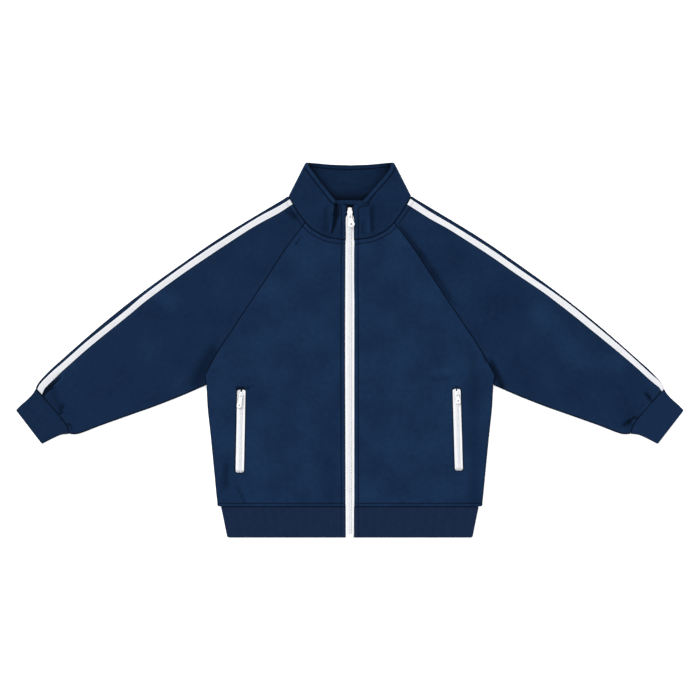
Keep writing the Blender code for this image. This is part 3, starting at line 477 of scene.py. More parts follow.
class Wire:
    def __init__(self, bench, socket):
        self.bench = bench
        self.socket = socket

    def maths(self, operation, *values):
        return self.bench.node("ShaderNodeMath", {"operation": operation}, dict(enumerate(values)))

    __add__, __radd__ = operator("ADD"), operator("ADD", True)
    __sub__, __rsub__ = operator("SUBTRACT"), operator("SUBTRACT", True)
    __mul__, __rmul__ = operator("MULTIPLY"), operator("MULTIPLY", True)
    __pow__ = operator("POWER")

    def sine(self):
        return self.maths("SINE", self)

    def size(self):
        return self.maths("ABSOLUTE", self)


class Bench:
    def __init__(self, tree):
        self.tree = tree

    def node(self, kind, settings={}, inputs={}, output=0):
        made = self.tree.nodes.new(kind)
        for key, value in settings.items():
            setattr(made, key, value)
        for key, value in inputs.items():
            socket = self.find(made.inputs, key)
            if isinstance(value, Wire):
                self.tree.links.new(value.socket, socket)
            else:
                socket.default_value = value
        return Wire(self, self.find(made.outputs, output)) if made.outputs else made

    def find(self, sockets, key):
        if isinstance(key, int):
            return sockets[key]
        return next(s for s in sockets if key in (s.identifier, s.name) and s.enabled)

    def others(self, wire, *outputs):
        made = wire.socket.node
        return [Wire(self, self.find(made.outputs, key)) for key in outputs]

    def blend(self, share, first, second):
        # two colours, or a colour and a wire, mixed by a share
        first, second = ((*value, 1) if isinstance(value, tuple) else value for value in (first, second))
        return self.node("ShaderNodeMix", {"data_type": "RGBA"},
                         {"Factor_Float": share, "A_Color": first, "B_Color": second}, "Result_Color")

    def attribute(self, name):
        return self.node("ShaderNodeAttribute", {"attribute_name": name}, {}, "Fac")


def finishBench(name):
    material = bpy.data.materials.new(name)
    material.use_nodes = True
    material.node_tree.nodes.clear()
    return material, Bench(material.node_tree)


def shadeFinish(bench, colour, roughness, normal=None, **fixed):
    inputs = {"Base Color": colour, "Roughness": roughness}
    inputs.update({key.replace("_", " "): value for key, value in fixed.items()})
    if normal is not None:
        inputs["Normal"] = normal
    shader = bench.node("ShaderNodeBsdfPrincipled", {}, inputs)
    bench.node("ShaderNodeOutputMaterial", {}, {"Surface": shader})


def inMillimetres(bench, place):
    return bench.node("ShaderNodeVectorMath", {"operation": "SCALE"}, {0: place, "Scale": 1 / mm})


def objectPlace(bench):
    return inMillimetres(bench, bench.node("ShaderNodeTexCoord", {}, {}, "Object"))


def grainPlace(bench):
    # the cloth's own coordinates in millimetres: across and along the grain
    scaled = inMillimetres(bench, bench.node("ShaderNodeUVMap", {"uv_map": "grain"}, {}, "UV"))
    across = bench.node("ShaderNodeSeparateXYZ", {}, {0: scaled})
    return scaled, across, bench.others(across, "Y")[0]


def cloudiness(bench, place, size, detail=2.0, rough=0.5):
    return bench.node("ShaderNodeTexNoise", {"noise_dimensions": "3D"},
                      {"Vector": place, "Scale": 1.0 / size, "Detail": detail, "Roughness": rough}, "Fac")


def bumpOf(bench, height, distance, strength=1.0):
    return bench.node("ShaderNodeBump", {},
                      {"Height": height, "Distance": distance * mm, "Strength": strength})


knitSheen = {"Specular_IOR_Level": 0.03, "Sheen_Weight": 0.02, "Sheen_Roughness": 0.5}
tricot = {
    "lighter": (0.0071, 0.0242, 0.0658), "darker": (0.0031, 0.0126, 0.0388),
    # the painted shade colour: what the shade attribute darkens the cloth toward
    "paintedShadeColour": (0.0003, 0.0032, 0.0105),
    "roughness": 0.62, "wale": 0.86, "course": 0.66, "loopDepth": 0.045,
}


def makeTricot():
    # smooth warp-knit polyester: fine upright wales, a soft uneven face and a little sheen
    finish, bench = finishBench("navyTricot")
    place, across, along = grainPlace(bench)
    wale = (across * (math.tau / tricot["wale"])).sine()
    course = ((along + wale * 0.12) * (math.tau / tricot["course"])).sine()
    cloud = cloudiness(bench, place, 55.0, 2.0)
    mottle = cloudiness(bench, place, 6.5, 3.0, 0.6)
    speck = cloudiness(bench, place, 1.3, 2.0, 0.7)
    # the shade attribute is painted shade: it darkens the face toward the painted shade colour, and where
    # below zero lightens it as a painted highlight
    shade = bench.attribute("shade")
    light = (cloud - 0.5) * 1.3 + (mottle - 0.5) * 0.9 + (speck - 0.5) * 0.55
    light = light + course * wale * 0.05 + 0.5 - shade
    face = bench.blend(light, tricot["darker"], tricot["lighter"])
    face = bench.blend(shade, face, tricot["paintedShadeColour"])
    height = course * 0.5 + wale.size() * 0.6 + speck * 0.8
    normal = bumpOf(bench, height, tricot["loopDepth"], 0.8)
    shadeFinish(bench, face, tricot["roughness"] + (mottle - 0.5) * 0.12, normal, **knitSheen)
    return finish


rib = {
    "lighter": {"hem": (0.0095, 0.0215, 0.0560), "cuff": (0.0076, 0.0232, 0.0625)},
    "darker": {"hem": (0.0050, 0.0120, 0.0350), "cuff": (0.0036, 0.0127, 0.0385)},
    # the painted shade colour of the valleys, seams and rim
    "paintedShadeColour": (0.0005, 0.0034, 0.0105),
    "roughness": 0.78, "course": 0.95, "loopDepth": 0.09,
}


def makeRib(name):
    # elastic rib knit: upright cords with painted shade in their valleys, a duller navy
    finish, bench = finishBench(name + "Rib")
    place, across, along = grainPlace(bench)
    course = ((along + (across * 2.6).sine() * 0.1) * (math.tau / rib["course"])).sine()
    mottle = cloudiness(bench, place, 9.0, 3.0, 0.6)
    speck = cloudiness(bench, place, 1.1, 3.0, 0.75)
    # the shade attribute paints shade into the valleys, seams and rim
    shade = bench.attribute("shade")
    light = (mottle - 0.5) * 0.8 + (speck - 0.5) * 1.6 + course * 0.08 + 0.52
    face = bench.blend(light, rib["darker"][name], rib["lighter"][name])
    face = bench.blend(shade, face, rib["paintedShadeColour"])
    normal = bumpOf(bench, course * 0.6 + speck, rib["loopDepth"], 0.9)
    shadeFinish(bench, face, rib["roughness"] + (mottle - 0.5) * 0.1, normal, **knitSheen)
    return finish


# middle: where across the tape its greyer part lies, and how far that reaches to each side
twillTape = {"white": (0.80, 0.81, 0.825), "grey": (0.57, 0.58, 0.61), "groove": (0.36, 0.37, 0.41),
             "middle": (4.75, 3.3), "roughness": 0.62, "pitch": 1.1, "depth": 0.06}


def makeTape(name, sizes):
    # woven polyester tape: a fine herringbone, greyer in its middle than at its edges
    finish, bench = finishBench(name)
    place, across, along = grainPlace(bench)
    turns = math.tau / sizes["pitch"]
    weave = ((across + along) * turns).sine() * ((across - along) * turns).sine()
    soft = cloudiness(bench, place, 16.0, 2.0)
    shade = bench.attribute("shade")
    centre, reach = sizes["middle"]
    middle = bench.node("ShaderNodeMapRange", {"interpolation_type": "SMOOTHSTEP"},
                        {"Value": (across - centre).size(), "From Min": reach, "From Max": reach - 0.7},
                        "Result")
    light = (soft - 0.5) * 0.5 + weave * 0.10 + middle * 0.6 + 0.1
    face = bench.blend(light, sizes["white"], sizes["grey"])
    # the shade attribute darkens the face toward the groove colour: painted shade in grooves and at edges,
    # and darker lines on the zip tapes
    face = bench.blend(shade, face, sizes["groove"])
    normal = bumpOf(bench, weave, sizes["depth"], 0.7)
    shadeFinish(bench, face, sizes["roughness"] + (soft - 0.5) * 0.1, normal,
                Specular_IOR_Level=0.35, Sheen_Weight=0.1)
    return finish


def makeMoulded(name, colour, darker, roughness, coat, grainSize):
    # hard white pieces of the zips, a touch uneven and rubbed
    finish, bench = finishBench(name)
    place = objectPlace(bench)
    cloud = cloudiness(bench, place, grainSize, 3.0, 0.6)
    fine = cloudiness(bench, place, 0.5, 2.0, 0.6)
    face = bench.blend((cloud - 0.35) * 0.8, colour, darker)
    normal = bumpOf(bench, cloud * 0.7 + fine * 0.3, 0.05, 0.5)
    shadeFinish(bench, face, roughness + (cloud - 0.5) * 0.2, normal,
                Specular_IOR_Level=0.5, Coat_Weight=coat, Coat_Roughness=0.2)
    return finish


def makeThread(name, colour, darker, gloss):
    # twisted polyester thread
    finish, bench = finishBench(name)
    place = objectPlace(bench)
    twist = bench.node("ShaderNodeTexWave", {"bands_direction": "DIAGONAL"},
                       {"Vector": place, "Scale": 1.6, "Distortion": 1.0}, "Fac")
    face = bench.blend(twist * 0.6, colour, darker)
    shadeFinish(bench, face, 0.5 + twist * 0.1, bumpOf(bench, twist, 0.05, 0.6), Specular_IOR_Level=gloss)
    return finish


finishes = {
    "tricot": makeTricot(),
    "hemRib": makeRib("hem"), "cuffRib": makeRib("cuff"),
    "stripe": makeTape("whiteStripeTape", twillTape),
    "zipTape": makeTape("whiteZipTape", {**twillTape, "white": (0.83, 0.835, 0.85),
                                         "grey": (0.70, 0.71, 0.74), "groove": (0.44, 0.45, 0.48),
                                         "middle": (0.0, 5.1)}),
    "plastic": makeMoulded("whiteTeeth", (0.86, 0.865, 0.88), (0.78, 0.785, 0.81), 0.45, 0.05, 3.0),
    "enamel": makeMoulded("whiteEnamel", (0.80, 0.81, 0.82), (0.71, 0.72, 0.74), 0.26, 0.3, 8.0),
    "navyThread": makeThread("navyThread", (0.0040, 0.0125, 0.0370), (0.0016, 0.0052, 0.0165), 0.05),
    "whiteThread": makeThread("whiteThread", (0.62, 0.63, 0.66), (0.40, 0.41, 0.45), 0.3),
}
print("finishes ready:", len(finishes))


# Pocket slots: middle of the top and bottom edge of each opening

pockets = {
    left: {"top": (159.8, -57.1), "bottom": (163.4, -179.2)},
    right: {"top": (162.5, -58.2), "bottom": (165.0, -182.3)},
}
slot = {"half": {left: 5.95, right: 6.22}, "round": 3.0, "rollRadius": 2.2, "rollDepth": 1.25}


def slotMiddle(side, y):
    top, bottom = pockets[side]["top"], pockets[side]["bottom"]
    lean = (top[0] - bottom[0]) / (top[1] - bottom[1])
    return bottom[0] + lean * (np.clip(y, bottom[1] - 25, top[1] + 25) - bottom[1])


def slotDistance(side, x, y):
    # distance outside the slot's round-cornered edge, x on the wearer's left
    top, bottom = pockets[side]["top"][1], pockets[side]["bottom"][1]
    a = np.abs(x - slotMiddle(side, y)) - slot["half"][side] + slot["round"]
    b = np.abs(y - (top + bottom) / 2) - (top - bottom) / 2 + slot["round"]
    return np.hypot(np.maximum(a, 0), np.maximum(b, 0)) + np.minimum(np.maximum(a, b), 0) - slot["round"]


# Fronts

front = {
    "nearZip": (0, .22, .45, .75, 1.1, 1.6, 2.4, 3.4, 4.4, 5.0, 5.35, 5.65, 5.95, 6.25, 6.55, 6.95, 7.8, 9.5,
                12),
    "nearArm": (0, .2, .42, .7, 1.05, 1.5, 2.1, 2.9, 4, 6, 9),
    "nearHem": (0, .25, .5, .8, 1.2, 1.8, 2.8, 3.8, 4.5, 4.9, 5.2, 5.5, 5.8, 6.3, 7.2, 9),
    "nearNeck": (0, .25, .5, .8, 1.2, 1.8, 2.8, 4.0, 5.0, 5.5, 5.9, 6.25, 6.6, 6.95, 7.3, 7.7, 8.2, 9, 11),
    "nearSlot": (0, .25, .55, .95, 1.5, 2.3, 3.6),
    # the fan above the underarm: its height, its rows, and columns beside the slot toward the zip and the arm
    "rise": 235.0, "upperRows": 78, "zipColumns": 38, "armColumns": 6,
    "seamRadius": 1.5, "seamDepth": 1.15,
    "stitchWidth": 0.62, "stitchDepth": 0.5,
    "allowance": 0.32,       # how much the folded seam allowance lifts the cloth
    # how far the zip's edge strays outward at each height: y, distance
    "stray": {left: [(-234, 0), (75, 0), (105, -0.45), (148, -0.45), (166, 0)],
              right: [(-234, 0), (-165, 0.15), (-110, 0.3), (-30, 0.65), (50, 0.6), (95, 0.3), (166, 0)]},
}

overlapRise = {"height": 1.2, "from": 150.0, "to": 250.0, "reach": 13.0}


def stitched(distance):
    return front["stitchDepth"] * bell(distance, front["stitchWidth"])


def turnedUnder(distance, start, end):
    # where a seam allowance lies under the cloth, from its seam to where it ends
    return ease(0.3, 1.6, distance) * (1 - ease(start, end, distance))


def edgeFold(distance, radius):
    # how far a fold drops below its layer, a distance in from its outermost line
    inside = radius - np.clip(distance, 0, radius)
    return radius - np.sqrt(np.maximum(radius**2 - inside**2, 0))


def frontField(side, x, y):
    # heights and shading of a front; x is positive and mirrored later for the right
    realX = x * side
    sideAway = line["side"].away(x, y)
    armAway, armPlace = line["armEdge"].near(x, y)
    neckAway = line["neckFront"].away(x, y)
    zipAway = x - jacket["zipOpening"]
    hemAway = y - jacket["hemSeam"]
    slotAway = slotDistance(side, x, y)
    below = 1 - ease(-68, -53, y)
    calm = ease(1.5, 15, sideAway) * ease(0.5, 9, zipAway) * ease(0.5, 7, neckAway) * ease(0.5, 9, hemAway)
    relief = (laidRelief(realX, y) + creaseRelief(realX, y, side)) * calm
    # a faint waviness where the hem and zip seams draw the cloth in
    draw = 0.16 * np.sin(realX / 5.3 + 1.7 * np.sin(realX / 17.0)) * bell(hemAway - 7.5, 5.0)
    draw += 0.10 * np.sin(y / 7.1 + 1.3 * np.sin(y / 23.0)) * bell(zipAway - 8.5, 5.0)
    rise = overlapRise["height"] * ease(overlapRise["from"], overlapRise["to"], armPlace)
    rise = rise * bell(armAway, overlapRise["reach"]) * ease(-80, -45, y)
    base = jacket["layerTop"] + relief + draw + rise - below * edgeFold(sideAway, jacket["foldRadius"])
    base = np.where(below > 0.5, np.maximum(base, jacket["foldRadius"] + 0.15), base)
    plain = ease(-62, -50, y)
    raised = front["allowance"] * (turnedUnder(neckAway, 5.6, 7.4) + turnedUnder(hemAway, 4.6, 6.2)
                                   + turnedUnder(zipAway, 5.0, 6.8))
    radius = front["seamRadius"]
    zipGroove = stitched(zipAway + jacket["zipOpening"] - jacket["zipStitch"])
    neckGroove = stitched(neckAway - jacket["neckStitch"])
    hemGroove = stitched(hemAway - jacket["hemStitch"])
    seam = highest(plain * rounding(armAway, radius), rounding(neckAway, radius),
                   rounding(hemAway, radius))
    groove = highest(zipGroove, neckGroove, hemGroove)
    roll = rounding(np.maximum(slotAway, 0), slot["rollRadius"]) * slot["rollDepth"]
    lip = 0.22 * bell(slotAway - 3.0, 1.2)
    detail = raised + lip - front["seamDepth"] * np.maximum(seam, rounding(zipAway, 1.2)) - roll - groove
    # painted shade along the seams, the zip, the slot's edge and the side fold, painted highlights beside the
    # slot's lip and above the hem, painted shade in the stitch grooves, and the painted strokes
    shade = highest(0.75 * plain * bell(armAway, 0.75), 0.75 * bell(neckAway, 0.8),
                    1.0 * bell(hemAway, 1.25), 0.75 * bell(zipAway, 1.0),
                    1.0 * bell(np.maximum(slotAway, 0), 1.35), 0.5 * below * bell(sideAway, 1.7))
    shade = shade - 0.3 * bell(slotAway - 3.3, 1.0) - 0.25 * bell(hemAway - 3.0, 1.3)
    shade = np.maximum(shade, 0.8 * groove / front["stitchDepth"]) + strokes(paintedLightAndShade["front"], realX, y)
    return base, detail, np.clip(shade, -1, 1)


def roundSlotCorners(side, x, y):
    # turns the slot's square grid corners into quarter circles, easing out around them
    top, bottom = pockets[side]["top"][1], pockets[side]["bottom"][1]
    middle = slotMiddle(side, y)
    half, radius = slot["half"][side], slot["round"]
    for sx in (-1, 1):
        for sy, end in ((1, top), (-1, bottom)):
            a = (x - middle) * sx - (half - radius)
            b = (y - end) * sy + radius
            inside = (a > 0) & (b > 0)
            square = np.maximum(a, b)
            easing = 1 - ease(radius * 1.2, radius * 3.0, square)
            pull = toward(1.0, square / np.maximum(np.hypot(a, b), 1e-6), easing)
            x = np.where(inside, middle + sx * (half - radius + a * pull), x)
            y = np.where(inside, end + sy * (b * pull - radius), y)
    return x, y


def frontGrid(side):
    # level rows up to the underarm, then rows that open out to the neck seam
    gap, opening = jacket["gap"], jacket["zipOpening"]
    top, bottom = pockets[side]["top"][1], pockets[side]["bottom"][1]
    near = np.asarray(front["nearSlot"])
    underarm = jacket["underarm"][1]
    levels = np.concatenate([
        jacket["hemSeam"] + gap + np.asarray(front["nearHem"]),
        np.linspace(jacket["hemSeam"] + 12, bottom - 6, 13),
        bottom - near[::-1], bottom + near[1:],
        np.linspace(bottom + 6, top - 6, 34),
        top - near[::-1], top + near[1:-2],
    ])
    levels = levels[levels < underarm - 0.8]
    level = len(levels)
    wide = np.interp(levels, *line["side"].points.T[::-1])
    up = spread(front["rise"], (0, 1.5, 3.5), front["nearNeck"], front["upperRows"])
    up = up * (1 - gap / front["rise"])
    underarmEdge = SmoothLine([(opening, underarm), jacket["underarm"]], 0)
    zipEdge = SmoothLine([(opening, underarm), outlines["neckFront"][0]], 0)
    arm = line["armEdge"].reversed()
    widths = np.concatenate([wide - opening, np.linalg.norm(arm.part(up) - zipEdge.part(up), axis=-1)])
    isArm = np.arange(len(widths)) >= level

    def slotFrom(y):
        return slotMiddle(side, y) - slot["half"][side] - opening

    # across: zip block, middle, slot, arm block, as distances on each row
    atUnderarm = slotFrom(underarm) / (jacket["underarm"][0] - opening)
    squeeze = np.clip(widths / 150.0, 0.3, 1)
    slotStart = np.concatenate([slotFrom(levels), atUnderarm * widths[level:]])[:, None]
    slotWide = 2 * slot["half"][side] * np.where(isArm, squeeze, 1)[:, None]
    zipBlock = np.asarray(front["nearZip"]) * np.ones((len(widths), 1))
    armBlock = widths[:, None] - np.asarray(front["nearArm"])[::-1] * np.minimum(1, widths / 60)[:, None]
    first = slotStart - near[::-1] * squeeze[:, None]
    last = slotStart + slotWide + near * squeeze[:, None]
    distance = np.hstack([zipBlock, between(zipBlock[:, -1:], first[:, :1], front["zipColumns"]), first,
                          slotStart + slotWide * np.array([0.25, 0.5, 0.75]), last,
                          between(last[:, -1:], armBlock[:, :1], front["armColumns"]), armBlock])
    u = distance / widths[:, None]
    u[:, -1] = np.where(isArm, 1 - gap / widths, 1.0)
    lower = np.dstack(np.broadcast_arrays(opening + u[:level] * (wide - opening)[:, None], levels[:, None]))
    v = np.broadcast_to(up[:, None], (len(up), u.shape[1]))
    xy = np.vstack([lower, coons(underarmEdge, line["neckFront"], zipEdge, arm, u[level:], v)])
    x, y = roundSlotCorners(side, xy[..., 0], xy[..., 1])
    keep = np.ones((len(widths) - 1, u.shape[1] - 1), bool)
    inSlot = (levels[:-1] > bottom - 0.01) & (levels[1:] < top + 0.01)
    slotColumn = zipBlock.shape[1] + front["zipColumns"] + len(near) - 1
    keep[:level - 1, slotColumn:slotColumn + 4][inSlot] = False
    return x, y, keep


def strayed(side, x, y):
    # the zip's edge isn't quite straight, and the cloth beside it goes along
    away = np.interp(y, *np.array(front["stray"][side]).T)
    return x + away * (1 - ease(0, 40, x - jacket["zipOpening"]))


def makeFront(side):
    x, y, keep = frontGrid(side)
    base, detail, shade = frontField(side, x, y)
    grid = np.dstack([strayed(side, x, y), y, base])
    return clothPiece(words[side] + "Front", "front_" + words[side], side, grid, detail, 1, keep=keep,
                      shade=shade)


fronts = {side: makeFront(side) for side in (left, right)}
print("fronts:", [len(piece.data.polygons) for piece in fronts.values()])


# Back

back = {"columns": 96, "rowsBelow": 40, "rowsAbove": 62, "rise": 265.0,
        "near": (0, .25, .6, 1.1, 1.8, 2.9, 4.5, 7)}


def makeBack():
    gap, underarm, hemLevel = jacket["gap"], jacket["underarm"][1], jacket["hemSeam"]
    near = np.asarray(back["near"])
    levels = hemLevel + gap + np.append(near, np.linspace(9, underarm - hemLevel - 1, back["rowsBelow"]))
    level = len(levels)
    wide = np.interp(levels, *line["side"].points.T[::-1])
    arm = line["armEdgeBack"].reversed()
    up = spread(back["rise"], (0, 2), near, back["rowsAbove"]) * (1 - gap / back["rise"])
    widths = np.concatenate([2 * wide, 2 * arm.part(up)[:, 0]])
    step = np.where(np.arange(len(widths)) >= level, gap / widths, 0)[:, None]
    u = step + (1 - 2 * step) * spread(widths, near, near, back["columns"])
    lower = np.dstack(np.broadcast_arrays((2 * u[:level] - 1) * wide[:, None], levels[:, None]))
    bottom = SmoothLine([(-jacket["underarm"][0], underarm), jacket["underarm"]], 0)
    neck = joined(line["neckBackMiddle"].reversed().mirrored(), line["neckBackMiddle"])
    v = np.broadcast_to(up[:, None], (len(up), u.shape[1]))
    xy = np.vstack([lower, coons(bottom, neck, arm.mirrored(), arm, u[level:], v)])
    x, y = np.abs(xy[..., 0]), xy[..., 1]
    armAway, neckAway = arm.away(x, y), line["neckBackMiddle"].away(x, y)
    below = 1 - ease(-68, -53, y)
    fold = jacket["foldRadius"]
    base = below * np.minimum(edgeFold(line["side"].away(x, y), fold), fold - 0.15)
    seam = highest((1 - below) * rounding(armAway, 1.5), rounding(neckAway, 1.5), rounding(y - hemLevel, 1.5))
    # painted shade along the raglan and neck seams
    shade = np.maximum((1 - below) * bell(armAway, 0.8), bell(neckAway, 0.8)) * 0.7
    return clothPiece("backPanel", "back", left, np.dstack([xy, base]), -0.9 * seam, -1, shade=shade)


backPanel = makeBack()
print("back:", len(backPanel.data.polygons))


# Sleeves: one tube each, with the raglan seam at its head

sleeve = {
    "nearHead": (0, .22, .45, .75, 1.1, 1.6, 2.3, 3.3, 4.6, 5.6, 6.2, 6.6, 6.9, 7.4, 8.4, 10),
    "nearCuff": (0, .2, .42, .7, 1.05, 1.5, 2.2, 3.0, 4.0, 5.2, 6.5),
    "nearFold": (0, .12, .35, .7, 1.2, 1.8, 2.4, 2.95, 3.6, 4.8),
    "rings": 118, "shoulderColumns": 11, "upperColumns": 30, "underColumns": 22,
    "cornerAtHead": 46.3, "cornerAtCuff": 0.21,
    # how far the sleeve drops beside the raglan seam: place along the seam, depth, reach
    "dip": {
        left: [(0, 0.2, 4), (40, 1.0, 6), (130, 1.0, 6.5), (200, 0.5, 6), (240, 1.7, 6), (290, 2.2, 8)],
        right: [(0, 0.1, 4), (60, 0.3, 5), (150, 0.1, 6), (200, 0.4, 9), (245, 1.5, 12), (290, 1.9, 14)],
    },
    "gather": {"height": 0.42, "reach": 7.0},
}


def sleeveField(side, x, y, upper):
    realX = x * side
    foldAway = np.minimum(line["sleeveTop"].away(x, y), line["sleeveBottom"].away(x, y))
    head = line["sleeveHeadFront"] if upper else line["sleeveHeadBack"]
    headAway = head.away(x, y)
    cuffAway, cuffPlace = line["cuffSeam"].near(x, y)
    seam = np.maximum(rounding(headAway, front["seamRadius"]), rounding(cuffAway, front["seamRadius"]))
    # painted shade along the head and cuff seams and at the folds
    shade = highest(0.75 * bell(headAway, 0.75), 1.0 * bell(cuffAway, 1.35), 0.7 * bell(foldAway, 1.7))
    fold = edgeFold(foldAway, jacket["foldRadius"])
    if not upper:
        return fold, -0.9 * seam, shade
    armAway, armPlace = line["armEdge"].near(x, y)
    neckAway = line["neckShoulder"].away(x, y)
    places, depths, reaches = np.array(sleeve["dip"][side]).T
    dip = np.interp(armPlace, places, depths) * bell(armAway, np.interp(armPlace, places, reaches))
    relief = (laidRelief(realX, y) + creaseRelief(realX, y, side)) * ease(1.5, 14, foldAway)
    gather = sleeve["gather"]["height"] * bell(cuffAway, sleeve["gather"]["reach"]) * ease(1, 7, foldAway)
    gather = gather * np.sin(cuffPlace / 2.7 + 1.9 * np.sin(cuffPlace / 9.0 + side))
    dip = dip * ease(0, 5, foldAway)
    relief = relief * ease(0.3, 7, headAway)
    groove = stitched(neckAway - jacket["neckStitch"]) * ease(1.5, 4.0, foldAway)
    raised = front["allowance"] * turnedUnder(neckAway, 5.6, 7.4)
    base = jacket["layerTop"] + relief - dip + gather - fold
    base = np.where(foldAway < 1.5, np.maximum(base, jacket["foldRadius"]), base)
    detail = raised - front["seamDepth"] * seam - groove
    # painted shade in the stitch groove and from the painted strokes, and the whole sleeve a little darker as
    # painted shade
    shade = np.maximum(shade, 0.8 * groove / front["stitchDepth"]) + strokes(paintedLightAndShade["sleeve"], realX, y) + 0.1
    return base, detail, np.clip(shade, -1, 1)


def sleeveLayer(head, upper):
    count = sleeve["upperColumns"] if upper else sleeve["underColumns"]
    near = np.asarray(sleeve["nearFold"])
    ends = sleeve["nearHead"], sleeve["nearCuff"], sleeve["rings"]
    guess = spread(400.0, *ends)
    width = np.linalg.norm(line["sleeveTop"].part(guess) - line["sleeveBottom"].part(guess), axis=-1)
    width = width * toward(head.length / width[0], line["cuffSeam"].length / width[-1], guess)
    corner = toward(sleeve["cornerAtHead"] / head.length, sleeve["cornerAtCuff"], guess)[:, None]
    start = near / width[:, None]
    end = 1 - near[::-1] / width[:, None]
    u = np.hstack([start, between(start[:, -1:], corner, sleeve["shoulderColumns"]), corner,
                   between(corner, end[:, :1], count), end])
    lengths = toward(line["sleeveTop"].length, line["sleeveBottom"].length, u.mean(0))
    v = (jacket["gap"] + (lengths - 2 * jacket["gap"]) * spread(lengths, *ends).T) / lengths
    return coons(head, line["cuffSeam"], line["sleeveTop"], line["sleeveBottom"], u, v)


def makeSleeve(side):
    over = sleeveLayer(line["sleeveHeadFront"], True)
    under = sleeveLayer(line["sleeveHeadBack"], False)
    # both layers share the folds' outermost lines
    under[:, 0], under[:, -1] = over[:, 0], over[:, -1]
    overField, underField = (sleeveField(side, xy[..., 0], xy[..., 1], xy is over) for xy in (over, under))
    grid = ringOf(np.dstack([over, overField[0]]), np.dstack([under, underField[0]]))
    detail, shade = (ringOf(overField[i], underField[i]) for i in (1, 2))
    return clothPiece(words[side] + "Sleeve", "sleeve_" + words[side], side, grid, detail, ring=True,
                      shade=shade, turn=-side * math.radians(38))


sleeves = {side: makeSleeve(side) for side in (left, right)}
print("sleeves:", [len(piece.data.polygons) for piece in sleeves.values()])


# White tapes on the sleeves

stripe = {
    "width": 9.5, "thickness": 0.7, "lift": 0.12, "steps": 300, "grooveDepth": 0.22,
    # share of the sleeve's length, then millimetres from the shoulder fold to the tape
    "fromFold": {left: [(0, 4.2), (0.025, 4.7), (0.042, 5.4), (0.06, 5.9), (0.092, 6.0), (0.145, 5.6),
                        (0.23, 5.9), (0.31, 5.2), (0.4, 5.5), (0.48, 5.0), (0.51, 4.2), (0.6, 3.15),
                        (0.7, 3.5), (0.79, 3.0), (0.82, 2.7), (0.89, 2.9), (0.92, 3.6), (0.94, 3.0),
                        (0.957, 2.0), (0.975, 1.0), (1, 0.2)],
                 right: [(0, 5.3), (0.03, 5.8), (0.045, 5.8), (0.06, 5.4), (0.08, 4.8), (0.1, 4.1),
                         (0.145, 4.2), (0.23, 5.2), (0.31, 4.6), (0.4, 4.3), (0.48, 4.7), (0.56, 5.1),
                         (0.61, 6.6), (0.65, 6.8), (0.73, 5.8), (0.79, 4.8), (0.88, 4.9), (0.96, 3.9),
                         (1, 3.3)]},
    # how much wider or narrower than usual it lies there, as it stretches and tilts
    "spread": {left: [(0, 0.0), (0.025, -0.1), (0.042, -0.7), (0.09, -0.5), (0.126, -1.1), (0.145, -1.4),
                      (0.23, -1.0), (0.31, -0.7), (0.4, -0.9), (0.48, -1.4), (0.56, -0.4), (0.6, 0.0),
                      (0.7, -0.2), (0.79, -0.9), (0.89, -1.8), (0.92, -2.0), (0.94, -2.0), (0.957, -1.9),
                      (0.975, -2.1), (0.987, -3.3), (1, -6.0)],
               right: [(0, -1.5), (0.03, -1.0), (0.06, -0.3), (0.1, -0.2), (0.145, -0.9), (0.23, -0.8),
                       (0.31, -0.3), (0.4, -0.6), (0.56, -0.8), (0.62, -1.3), (0.7, -1.1), (0.79, -0.7),
                       (0.89, -0.7), (0.92, 0.5), (0.96, 0.0), (1, -0.7)]},
    "across": (0, .25, .6, 1.0, 1.4, 1.9, 3, 4.75),
    # greyer: painted shade over the middle of each side's tape
    "greyer": {left: 0.03, right: 0.17},     # how much its middle is dulled
    "edgeStitch": 1.25, "barStitch": 6.6,
    "startGap": {left: 1.05, right: 0.6}, "endGap": {left: 0.4, right: 2.4},
}


def stripeOffset(side, share, across):
    # distance from the shoulder fold to a line along the tape
    wider = softened(stripe["spread"][side], share, 0.02)
    return softened(stripe["fromFold"][side], share, 0.02) + across * (1 + wider / stripe["width"])


def stripeEnds(side, offsetStart, offsetEnd):
    # where the tape's edge at each offset meets the neck seam and the cuff seam
    top = line["stripeTop"]
    wanted = np.unique(np.round(np.concatenate([offsetStart.ravel(), offsetEnd.ravel()]), 3))
    fits = []
    for reach, seam, degree in ((np.linspace(0, 60, 200), "neckShoulder", 1),
                                (np.linspace(top.length - 45, top.length, 300), "cuffSeam", 2)):
        inward = rightOf(np.gradient(top.at(reach), reach, axis=0))
        meets = [reach[np.argmin(line[seam].away(*(top.at(reach) + inward * offset).T))] for offset in wanted]
        fits.append(np.polyfit(wanted, meets, degree))      # keeps the end free of steps
    return (np.polyval(fits[0], offsetStart) + stripe["startGap"][side],
            np.polyval(fits[1], offsetEnd) - stripe["endGap"][side])


def rightOf(along):
    # directions turned a quarter to their right
    along = along / np.linalg.norm(along, axis=-1)[..., None]
    return np.stack([along[..., 1], -along[..., 0]], -1)


def stripeFace(side, share, across, lift=0.0):
    # points on the tape: share along the sleeve, distance from the edge that faces the shoulder fold
    share, across = np.broadcast_arrays(share, across)
    top = line["stripeTop"]
    reach = toward(*stripeEnds(side, stripeOffset(side, 0.0, across), stripeOffset(side, 1.0, across)), share)
    inward = rightOf(top.at(np.minimum(reach + 0.5, top.length)) - top.at(np.maximum(reach - 0.5, 0)))
    place = top.at(reach) + inward * stripeOffset(side, share, across)[..., None]
    base, detail = sleeveField(side, place[..., 0], place[..., 1], True)[:2]
    return np.dstack([place, base + np.maximum(detail, -0.5) + lift])


